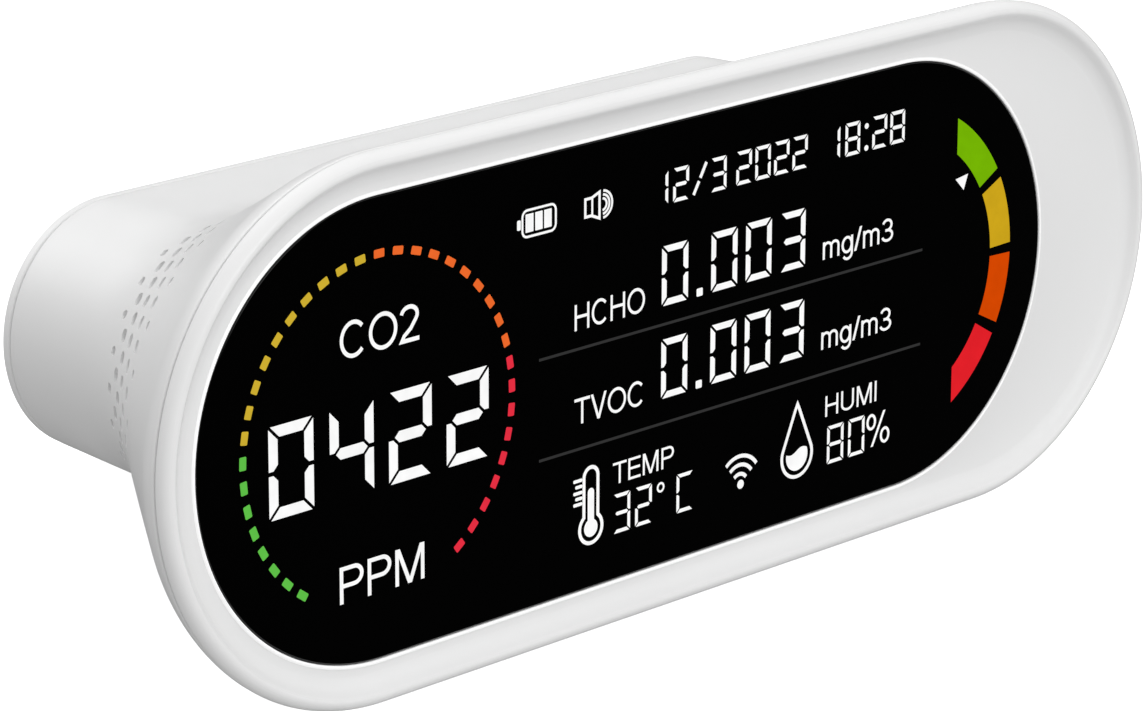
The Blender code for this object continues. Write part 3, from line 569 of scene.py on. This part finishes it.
def ribbon(path, width, closed=False):
    """A thin closed band along a path of (x, z): the path moved half a width to each side, mitred."""
    path = np.asarray(path, float)
    if closed:
        before, after = path - np.roll(path, 1, 0), np.roll(path, -1, 0) - path
    else:
        step = np.diff(path, axis=0)
        before, after = np.vstack([step[:1], step]), np.vstack([step, step[-1:]])
    before /= np.linalg.norm(before, axis=1)[:, None]
    after /= np.linalg.norm(after, axis=1)[:, None]
    middle = before + after
    middle /= np.linalg.norm(middle, axis=1)[:, None]
    mitre = 0.5 * width / np.maximum((middle * before).sum(1), 0.3)
    side = np.stack([-middle[:, 1], middle[:, 0]], -1) * mitre[:, None]
    edges = [(path + side, PLATE_FRONT), (path + side, PLATE_BACK),
             (path - side, PLATE_BACK), (path - side, PLATE_FRONT)]
    rows = np.stack([np.insert(edge, 1, level, axis=1) for edge, level in edges])
    count = len(path)
    faces = quads(4, count, wrap_rows=True, wrap_columns=closed).tolist()
    if not closed:
        faces += [[0, count, 2 * count, 3 * count], [4 * count - 1, 3 * count - 1, 2 * count - 1, count - 1]]
    return rows.reshape(-1, 3), faces


def patch(outline):
    """A plate whose outline is in shares of the panel."""
    return plate(np.asarray(outline) * PANEL)


def line(path, width, closed=False):
    """A band whose path and width are in shares of the panel."""
    return ribbon(np.asarray(path) * PANEL, width * PANEL, closed)


def gathered(shapes):
    """Several plates and bands as one set of points and faces."""
    points, faces, start = [], [], 0
    for own_points, own_faces in shapes:
        points.append(own_points)
        faces += [[start + number for number in face] for face in own_faces]
        start += len(own_points)
    return np.vstack(points), faces


def lit_piece(name, shapes, finish):
    points, faces = gathered(shapes)
    return skin(name, points, faces, [finish], slot="printed_film")


SEGMENTS = {
    "0": "abcdef", "1": "bc", "2": "abged", "3": "abgcd", "4": "fgbc", "8": "abcdefg", "C": "afed",
}


def digit(figure, left, bottom, width, height, bar, gap):
    """The lit bars of one seven-bar figure: mitred at the corners, pointed where three bars meet."""
    w, h, t, g = width, height, bar, gap * 0.7
    m = h / 2
    bars = {
        "a": [(g, h), (w - g, h), (w - t - g, h - t), (t + g, h - t)],
        "d": [(g, 0), (t + g, t), (w - t - g, t), (w - g, 0)],
        "f": [(0, h - g), (t, h - t - g), (t, m + t / 2 + g), (t / 2, m + g), (0, m + g)],
        "e": [(0, g), (0, m - g), (t / 2, m - g), (t, m - t / 2 - g), (t, t + g)],
        "b": [(w, h - g), (w, m + g), (w - t / 2, m + g), (w - t, m + t / 2 + g), (w - t, h - t - g)],
        "c": [(w, g), (w - t, t + g), (w - t, m - t / 2 - g), (w - t / 2, m - g), (w, m - g)],
        "g": [(t / 2 + g, m), (t + g, m + t / 2), (w - t - g, m + t / 2), (w - t / 2 - g, m),
              (w - t - g, m - t / 2), (t + g, m - t / 2)],
    }
    return [patch(np.array(bars[name]) + (left, bottom)) for name in SEGMENTS[figure]]


def circle_path(x, z, radius, start=0.0, stop=360.0, steps=40, tall=1.0):
    """Points round part of a circle, angles in degrees from the right; a whole one leaves out its end.

    Tall stretches it upwards into an ellipse.
    """
    angle = np.radians(np.linspace(start, stop, steps, endpoint=abs(stop - start) < 360))
    return np.stack([x + radius * np.cos(angle), z + radius * tall * np.sin(angle)], -1)


def bow(width, low_end, high_end, start, stop, left=0.0, steps=26):
    """Centre line of part of an oval stroke whose outside fills a box of this width and height."""
    across, tall = (width - STROKE) / 2, (high_end - low_end - STROKE) / 2
    return circle_path(left + width / 2, (low_end + high_end) / 2, across, start, stop, steps, tall / across)


# The labels are a plain grotesque drawn with even strokes. Each letter has its width, the space
# before and after it, and its strokes, all in shares of the capital height.
STROKE = 0.112
H = STROKE / 2


def slant(top, foot, high_end=1.0, low_end=0.0, wide=1.1 * STROKE):
    """A leaning stroke with level ends, as an outline."""
    half = wide / 2
    ends = ((foot, -half, low_end), (foot, half, low_end), (top, half, high_end), (top, -half, high_end))
    return np.array([(x + aside, level) for x, aside, level in ends])


def arch(left, right, crown, foot=0.0):
    """A round-topped stroke down to the foot on its right, as in m."""
    reach = (right - left - STROKE) / 2
    top = circle_path(left + H + reach, crown - H - reach * 0.9, reach, 180, 0, 16, 0.9)
    return np.vstack([top, [(right - H, foot)]])


two = np.vstack([bow(0.68, 0.44, 1.0, 168, -32, 0.01), [(0.40, 0.36), (0.16, 0.19), (H + 0.02, H), (0.70, H)]])
three = [bow(0.62, 0.50 - H, 1.0, 160, -80, 0.03, 20), bow(0.70, 0.0, 0.50 + H, 84, -165, 0.0, 22),
         np.array([(0.24, 0.5), (0.38, 0.5)])]
p_bowl = np.vstack([[(STROKE, 1 - H), (0.45, 1 - H)], bow(0.62, 0.42, 1, 80, -80, 0.16),
                    [(0.45, 0.42 + H), (STROKE, 0.42 + H)]])
u_bend = np.vstack([[(H, 1.0)], bow(0.82, 0, 0.66, 180, 360), [(0.82 - H, 1.0)]])
g_tail = np.vstack([[(0.66 - H, 0.74)], bow(0.62, -0.30, 0.30, 0, -150, 0.04, 18)])
stem = [(H, 0), (H, 1)]


def stem_at(right):
    """An upright stroke whose right side is at the given place."""
    return [(right - H, 0), (right - H, 1)]


def bar_at(height, left, right):
    """A level stroke."""
    return [(left, height), (right, height)]


LETTERS = {
    "C": (0.92, 0.05, 0.05, [bow(0.94, 0, 1, 42, 318)], [], []),
    "O": (1.00, 0.05, 0.05, [], [bow(1.0, 0, 1, 0, 360, steps=48)], []),
    "2": (0.70, 0.03, 0.03, [two], [], []),
    "3": (0.70, 0.04, 0.02, three, [], []),
    "P": (0.78, 0.10, 0.04, [stem, p_bowl], [], []),
    "M": (0.97, 0.10, 0.10, [stem, stem_at(0.97)], [], [slant(H + 0.03, 0.485), slant(0.94 - H, 0.485)]),
    "H": (0.82, 0.10, 0.10, [stem, stem_at(0.82), bar_at(0.52, STROKE, 0.82 - STROKE)], [], []),
    "T": (0.84, 0.02, 0.02, [bar_at(1 - H, 0, 0.84), [(0.42, 0), (0.42, 1 - STROKE)]], [], []),
    "V": (0.88, 0.02, 0.02, [], [], [slant(0.07, 0.44), slant(0.81, 0.44)]),
    "E": (0.76, 0.10, 0.05, [stem, bar_at(H, STROKE, 0.76), bar_at(0.52, STROKE, 0.72),
                             bar_at(1 - H, STROKE, 0.75)], [], []),
    "U": (0.82, 0.10, 0.10, [u_bend], [], []),
    "I": (STROKE, 0.10, 0.10, [stem], [], []),
    "m": (0.96, 0.08, 0.08, [[(H, 0), (H, 0.74)], arch(0, 0.54, 0.74), arch(0.42, 0.96, 0.74)], [], []),
    "g": (0.66, 0.05, 0.08, [g_tail], [bow(0.64, 0.0, 0.74, 0, 360, steps=36)], []),
    "/": (0.40, 0.02, 0.02, [], [], [slant(0.36, 0.04)]),
}


def lettering(words, left, right, bottom, top):
    """A label between two edges, its capitals from bottom to top: every stroke a thin plate or band."""
    width = -LETTERS[words[0]][1] - LETTERS[words[-1]][2] + sum(sum(LETTERS[sign][:3]) for sign in words)
    stretch = np.array([(right - left) / width, top - bottom]) * PANEL
    shapes, at = [], -LETTERS[words[0]][1]
    for sign in words:
        wide, before, after, strokes, rings, solids = LETTERS[sign]
        at += before
        drawn = [ribbon(path, STROKE) for path in strokes] + [ribbon(path, STROKE, True) for path in rings]
        for points, faces in drawn + [plate(outline) for outline in solids]:
            flat = (points[:, ::2] + (at, 0)) * stretch + np.array([left, bottom]) * PANEL
            shapes.append((np.stack([flat[:, 0], points[:, 1], flat[:, 1]], -1), faces))
        at += wide + after
    return gathered(shapes)


# -------------------- carbon dioxide dial
# A ring of 37 short dashes, 8 degrees apart, that runs clockwise from green through yellow and
# orange to red, round a four-figure reading.

RING_X, RING_RADIUS = -0.8067, 0.379
DASH_LONG, DASH_WIDE, DASH_CORNER = 0.0288, 0.0182, 0.0028
corner = circle_path(0, 0, DASH_CORNER, 0, 90, 4)
quarter = corner + (DASH_LONG / 2 - DASH_CORNER, DASH_WIDE / 2 - DASH_CORNER)
flip = [(1, 1, 1), (-1, 1, -1), (-1, -1, 1), (1, -1, -1)]
dash = np.vstack([quarter[::order] * (i, j) for i, j, order in flip])
colours = [(lit_green, 0, 8), (lit_yellow, 8, 18), (lit_orange, 18, 28), (lit_red, 28, 37)]
for finish, first, stop in colours:
    shapes = []
    for turn in np.radians(-126 - 8.0 * np.arange(first, stop)):
        tangent = np.array([-math.sin(turn), math.cos(turn)])
        outward = np.array([math.cos(turn), math.sin(turn)])
        middle = np.array([RING_X, 0]) + RING_RADIUS * outward
        shapes.append(patch(middle + dash[:, :1] * tangent + dash[:, 1:] * outward))
    lit_piece(f"dial_{finish.name.split('_')[1]}_dashes", shapes, finish)

shapes = [lettering("CO2", -0.918, -0.696, 0.172, 0.253), lettering("PPM", -0.926, -0.686, -0.354, -0.273)]
for figure, left in zip("0422", (-1.116, -0.949, -0.784, -0.619)):
    shapes += digit(figure, left, -0.1264, 0.122, 0.200, 0.0245, 0.007)
lit_piece("carbon_dioxide_reading", shapes, lit_white)

# -------------------- status line
# Battery and loudspeaker signs, then the date and the time in thin seven-bar figures.

SMALL_BAR, SMALL_GAP = 0.0082, 0.0036


def rounded_box(left, right, bottom, top, corner):
    """Outline of a box with quarter-circle corners."""
    middles = [(right - corner, top - corner, 0), (left + corner, top - corner, 90),
               (left + corner, bottom + corner, 180), (right - corner, bottom + corner, 270)]
    return np.vstack([circle_path(x, z, corner, start, start + 90, 6) for x, z, start in middles])


shapes = [line(rounded_box(-0.3965, -0.2975, 0.3305, 0.3885, 0.014), 0.0052, True)]
shapes.append(patch(rounded_box(-0.412, -0.4015, 0.349, 0.371, 0.003)))
for left, right in ((-0.387, -0.364), (-0.3585, -0.337), (-0.332, -0.310)):
    shapes.append(patch(rounded_box(left, right, 0.340, 0.380, 0.001)))
speaker = np.array([(-0.209, 0.340), (-0.190, 0.340), (-0.166, 0.330), (-0.166, 0.388), (-0.190, 0.379),
                    (-0.209, 0.379)])
shapes.append(line(speaker, 0.0062, True))
shapes.append(line([(-0.188, 0.341), (-0.188, 0.378)], 0.005))
for radius in (0.013, 0.0215, 0.030):
    shapes.append(line(circle_path(-0.1575, 0.359, radius, -84, 84, 22), 0.0052))
date = [("1", -0.004), ("2", 0.061), ("3", 0.180), ("2", 0.261), ("0", 0.322), ("2", 0.383), ("2", 0.443)]
time = [("1", 0.551), ("8", 0.618), ("2", 0.709), ("8", 0.770)]
for figure, left in date + time:
    shapes += digit(figure, left, 0.321, 0.049, 0.076, SMALL_BAR, SMALL_GAP)
for ends in (((0.125, 0.326), (0.142, 0.354)), ((0.146, 0.361), (0.165, 0.393))):
    shapes.append(line(ends, SMALL_BAR))
for z in (0.380, 0.329):
    shapes.append(patch(circle_path(0.689, z, 0.0066, steps=16)))
lit_piece("status_line", shapes, lit_white)

# -------------------- formaldehyde and vapour readings
# Two rows with a label, a seven-bar reading with a square point, and its unit, ruled off below
# each by a thin dim line.

ROW_STEP = -0.2113
shapes, rules = [], []
for row, label in enumerate(("HCHO", "TVOC")):
    drop = row * ROW_STEP
    shapes.append(lettering(label, -0.240, -0.025, 0.093 + drop, 0.151 + drop))
    for figure, left in (("0", 0.028), ("0", 0.184), ("0", 0.295), ("3", 0.407)):
        wide = 0.083 if 0.1 < left < 0.4 else 0.082
        shapes += digit(figure, left, 0.093 + drop, wide, 0.135, 0.0146, 0.0062)
    shapes.append(patch(rounded_box(0.138, 0.157, 0.0925 + drop, 0.1105 + drop, 0.003)))
    shapes.append(lettering("mg/m3", 0.549, 0.787, 0.0945 + drop, 0.149 + drop))
for z in (0.0513, -0.1747):
    rule = [(-0.347, z - 0.003), (0.890, z - 0.003), (0.890, z + 0.003), (-0.347, z + 0.003)]
    rules.append(patch(rule))
lit_piece("vapour_readings", shapes, lit_white)
dim_grey = lit_finish("dim_grey_print", "#333333")
lit_piece("ruled_lines", rules, dim_grey)

# -------------------- temperature, signal and humidity
# A thermometer, three signal arcs over a dot, and a half-filled drop, with their small readings.

bulb_x, bulb_z, bulb_radius, tube_half = -0.189, -0.363, 0.0345, 0.0215
join = math.degrees(math.acos(tube_half / bulb_radius))
thermometer = np.vstack([circle_path(bulb_x, bulb_z, bulb_radius, 180 - join, 360 + join, 30),
                         circle_path(bulb_x, -0.2455, tube_half, 0, 180, 16)])
shapes = [line(thermometer, 0.0085, True)]
column_half, small_bulb = 0.0095, 0.0205
join = math.degrees(math.acos(column_half / small_bulb))
column = np.vstack([circle_path(bulb_x, bulb_z, small_bulb, 180 - join, 360 + join, 26),
                    circle_path(bulb_x, -0.281, column_half, 0, 180, 10)])
shapes.append(patch(column))
for k, z in enumerate((-0.247, -0.261, -0.275, -0.288, -0.301)):
    left = -0.243 if k % 2 == 0 else -0.237
    shapes.append(patch(rounded_box(left, -0.2155, z - 0.0038, z + 0.0038, 0.003)))
shapes.append(lettering("TEMP", -0.121, 0.070, -0.281, -0.232))
for figure, left in (("3", -0.119), ("2", -0.051), ("C", 0.080)):
    shapes += digit(figure, left, -0.395, 0.052, 0.090, SMALL_BAR, SMALL_GAP)
shapes.append(line(circle_path(0.029, -0.3215, 0.0095, steps=24), 0.005, True))
shapes.append(patch(circle_path(0.287, -0.375, 0.0105, steps=20)))
for radius in (0.026, 0.0475, 0.068):
    shapes.append(line(circle_path(0.283, -0.376, radius, 36, 130, 22), 0.0088))
drop_x, drop_z, drop_radius, tip_z = 0.4727, -0.350, 0.050, -0.228
join = math.degrees(math.acos(drop_radius / (tip_z - drop_z)))
belly = circle_path(drop_x, drop_z, drop_radius, 90 + join + 6, 450 - join - 6, 44)
ease = np.linspace(0, 1, 9)[1:-1, None]
right_side = belly[-1] * (1 - ease) + np.array([drop_x + 0.001, tip_z]) * ease
left_side = np.array([drop_x - 0.001, tip_z]) * (1 - ease) + belly[0] * ease
drop = np.vstack([belly, right_side, [(drop_x, tip_z)], left_side])
shapes.append(line(drop, 0.0082, True))
fill = circle_path(drop_x, drop_z, 0.0355, 168, 384, 40)
wave_x = np.linspace(fill[-1][0], fill[0][0], 14)[1:-1]
wave_share = (wave_x - fill[0][0]) / (fill[-1][0] - fill[0][0])
wave_z = fill[0][1] + (fill[-1][1] - fill[0][1]) * wave_share - 0.005 * np.sin(2 * math.pi * wave_share)
wave = np.stack([wave_x, wave_z], -1)
shapes.append(patch(np.vstack([fill, wave])))
shapes.append(lettering("HUMI", 0.567, 0.741, -0.280, -0.231))
for figure, left in (("8", 0.575), ("0", 0.647)):
    shapes += digit(figure, left, -0.395, 0.055, 0.090, SMALL_BAR, SMALL_GAP)
for x, z in ((0.7255, -0.328), (0.7730, -0.368)):
    shapes.append(line(circle_path(x, z, 0.0130, steps=24, tall=1.25), 0.0068, True))
shapes.append(patch(slant(0.7700, 0.7290, -0.3080, -0.3880, 0.0075)))
lit_piece("climate_readings", shapes, lit_white)

# -------------------- air quality gauge
# A bold four-colour arc at the right of the display, cut off upright at both ends, with a small
# white pointer inside it.

GAUGE_X, GAUGE_IN, GAUGE_OUT, GAUGE_CUT = 0.8088, 0.323, 0.394, 1.0055
gauge_green = lit_finish("lit_leaf_green_cell", "#76b605")
gauge_yellow = lit_finish("lit_amber_cell", "#cea61c")
gauge_orange = lit_finish("lit_deep_orange_cell", "#d64802")
gauge_red = lit_finish("lit_scarlet_cell", "#e4212a")
cut_out = math.degrees(math.acos((GAUGE_CUT - GAUGE_X) / GAUGE_OUT))
cut_in = math.degrees(math.acos((GAUGE_CUT - GAUGE_X) / GAUGE_IN))
for name, outer_ends, inner_ends, finish in (
    ("green", (cut_out, 30.0), (cut_in, 30.0), gauge_green),
    ("yellow", (26.2, 1.3), (26.2, 1.3), gauge_yellow),
    ("orange", (-2.2, -26.9), (-2.2, -26.9), gauge_orange),
    ("red", (-30.9, -cut_out), (-30.9, -cut_in), gauge_red),
):
    outside = circle_path(GAUGE_X, 0, GAUGE_OUT, *outer_ends, 20)
    within = circle_path(GAUGE_X, 0, GAUGE_IN, *inner_ends, 20)
    lit_piece(f"gauge_{name}_arc", [patch(np.vstack([outside, within[::-1]]))], finish)
pointer = np.array([(1.002, 0.197), (1.045, 0.203), (1.031, 0.167)])
lit_piece("gauge_pointer", [patch(pointer)], lit_white)

# -------------------- feet
# Four soft grey rubber pads, moulded as wedges that level the leaning case on the table. Their
# undersides lie flat on it and their tops follow the case.

soft_rubber = finish_of("moulded_grey_rubber", "#5b5c5e", 0.8, IOR=1.5)
mottle(soft_rubber, ("#55565a", "#626365"), size_mm=2)
grain(soft_rubber, size_mm=0.5, height_mm=0.02, strength=0.5)
line_depth = np.linspace(1.0, 53.5, 400)
line_radius, _, line_rise = shell_section(line_depth)
underside = leaned(np.stack([0 * line_depth, line_depth, line_rise - line_radius], -1))
for name in ("front_foot_left", "front_foot_right", "rear_foot_left", "rear_foot_right"):
    low, high = (np.array(corner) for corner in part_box(name))
    outline = rounded_box(low[0] / MM, high[0] / MM, low[1] / MM, high[1] / MM, 1.6) * MM
    middle = outline.mean(0)
    top = np.interp(outline[:, 1], underside[:, 1], underside[:, 2]) + 0.1 * MM
    rings = []
    for share, shrink in ((0.0, 0.955), (0.04, 0.985), (0.12, 1.0), (1.0, 1.0)):
        place = middle + (outline - middle) * shrink
        rings.append(np.column_stack([place, top * share]))
    local = (np.stack(rings) - LENS_CENTRE) / MM @ np.array([RIGHT, BACK, UP]).T
    skin(f"{name}_pad", local.reshape(-1, 3), capped(local), [soft_rubber], stands_for=[name],
         slot="grey_rubber")

# -------------------- inner parts
# The boards, sensors, battery and wiring stay as the CAD made them, each with the finish of the
# real part: they show only through a pulled cover.

solder_mask = finish_of("green_solder_mask_board", "#14532d", 0.35, IOR=1.5)
mottle(solder_mask, ("#114a27", "#1a6a3a"), size_mm=2.2, detail=5.0, spread=(0.45, 0.55))
brass = finish_of("turned_brass", "#c9a45c", 0.28, Metallic=1.0)
mottle(brass, (0.2, 0.36), size_mm=0.5)
tape = finish_of("black_foam_tape", "#101010", 0.9)
mottle(tape, ("#0c0c0c", "#181818"), size_mm=0.6)
film = finish_of("printed_segment_film", "#26272a", 0.35)
mottle(film, ("#222326", "#2c2d31"), size_mm=1.5)
diffuser = finish_of("white_reflector_polycarbonate", "#ecebe6", 0.55, IOR=1.58)
mottle(diffuser, ("#e6e5df", "#f0efea"), size_mm=6)
sleeve = finish_of("blue_heat_shrink_sleeve", "#1d4f86", 0.32)
mottle(sleeve, ("#1a4879", "#22598f"), size_mm=5)
jacket = finish_of("red_wire_jacket", "#8f1d1c", 0.45)
mottle(jacket, ("#861a19", "#9a2220"), size_mm=3)
coats = {
    solder_mask: ["display_board", "main_board", "rear_board"],
    brass: [n for n in nodes if n.startswith("board_standoff")] + ["co2_sensor"],
    zinc: [n for n in nodes if n.startswith(("display_screw", "main_board_screw"))],
    nickel: ["hcho_sensor", "tvoc_sensor", "wifi_module"],
    tape: ["lens_adhesive"],
    film: ["segment_film"],
    diffuser: ["segment_reflector", "temp_humidity_sensor", "display_ribbon"],
    black_nylon: ["buzzer", "battery_cradle", "power_switch", "menu_switch", "set_switch"],
    sleeve: ["battery_cell"],
    jacket: ["battery_lead", "rear_lead"],
}
for finish, names in coats.items():
    for name in names:
        for place in nodes[name].material_slots:
            place.material = finish

# -------------------- studio
# A white table that runs out of sight in a bright room whose two sides are darker, which models
# the case, and four soft boxes: overhead, in front, behind, and low behind at the left.

TABLE_HALF = 12.0
table_mesh = bpy.data.meshes.new("studio_table")
table_corners = [(x * TABLE_HALF, y * TABLE_HALF, 0.0) for x, y in ((-1, -1), (1, -1), (1, 1), (-1, 1))]
table_mesh.from_pydata(table_corners, [], [(0, 1, 2, 3)])
table = bpy.data.objects.new("studio_table", table_mesh)
bpy.context.scene.collection.objects.link(table)
white_card = bpy.data.materials.new("white_backdrop_card")
white_card.use_nodes = True
tree = white_card.node_tree
tree.nodes.clear()
path = add_node(tree, "LightPath")
WHITE = (1.0, 1.0, 1.0, 1.0)
paper = add_node(tree, "BsdfDiffuse", Color=linear("#f7f7f7"))
lift = add_node(tree, "Emission", Color=WHITE, Strength=0.66)
lit_paper = add_node(tree, "AddShader", {0: paper.outputs[0], 1: lift.outputs[0]})
glow = add_node(tree, "Emission", Color=WHITE, Strength=0.50)
dark = add_node(tree, "Emission", Color=WHITE, Strength=0.01)
bounced = add_node(tree, "MixShader",
                   {0: path.outputs["Is Glossy Ray"], 1: glow.outputs[0], 2: dark.outputs[0]})
seen = add_node(tree, "MixShader",
                {0: path.outputs["Is Camera Ray"], 1: bounced.outputs[0], 2: lit_paper.outputs[0]})
add_node(tree, "OutputMaterial", {"Surface": seen.outputs[0]})
table_mesh.materials.append(white_card)

world = bpy.data.worlds.new("studio_room")
bpy.context.scene.world = world
world.use_nodes = True
tree = world.node_tree
tree.nodes.clear()
path = add_node(tree, "LightPath")
seen = add_node(tree, "Background", Color=WHITE, Strength=1.0)
way = add_node(tree, "TexCoord")
parts = add_node(tree, "SeparateXYZ", {"Vector": way.outputs["Generated"]})
sideways = add_node(tree, "Math", {0: parts.outputs["X"]}, operation="ABSOLUTE")
ROOM_BRIGHT, ROOM_SIDES = 1.30, 0.48
shaded = add_node(tree, "MapRange", {"Value": sideways.outputs[0]}, interpolation_type="SMOOTHSTEP",
                  From_Min=0.10, From_Max=0.75, To_Min=ROOM_BRIGHT, To_Max=ROOM_SIDES)
fill = add_node(tree, "Background", {"Strength": shaded.outputs[0]}, Color=WHITE)
dark = add_node(tree, "Background", Color=WHITE, Strength=0.01)
glossy = add_node(tree, "MixShader",
                  {0: path.outputs["Is Glossy Ray"], 1: fill.outputs[0], 2: dark.outputs[0]})
room = add_node(tree, "MixShader",
                {0: path.outputs["Is Camera Ray"], 1: glossy.outputs[0], 2: seen.outputs[0]})
add_node(tree, "OutputWorld", {"Surface": room.outputs[0]})


def soft_box(name, place, width, height, watts):
    """A large soft light at a place in metres, facing the middle of the monitor."""
    data = bpy.data.lights.new(name, "AREA")
    data.shape = "RECTANGLE"
    data.size, data.size_y, data.energy = width, height, watts
    lamp = bpy.data.objects.new(name, data)
    bpy.context.scene.collection.objects.link(lamp)
    lamp.location = place
    lamp.rotation_euler = (Vector((0, 0, 0.03)) - Vector(place)).to_track_quat("-Z", "Y").to_euler()
    lamp.visible_camera = False


soft_box("overhead_soft_box", (0.0, 0.01, 1.75), 1.0, 0.8, 0.9)
soft_box("front_soft_box", (0.0, -1.2, 1.23), 1.0, 0.8, 3.1)
soft_box("rear_soft_box", (0.0, 1.2, 1.23), 1.0, 0.8, 3.2)
soft_box("low_rear_soft_box", (-0.44, 1.64, 0.35), 1.0, 0.6, 3.0)
bpy.context.scene.view_settings.view_transform = "Standard"
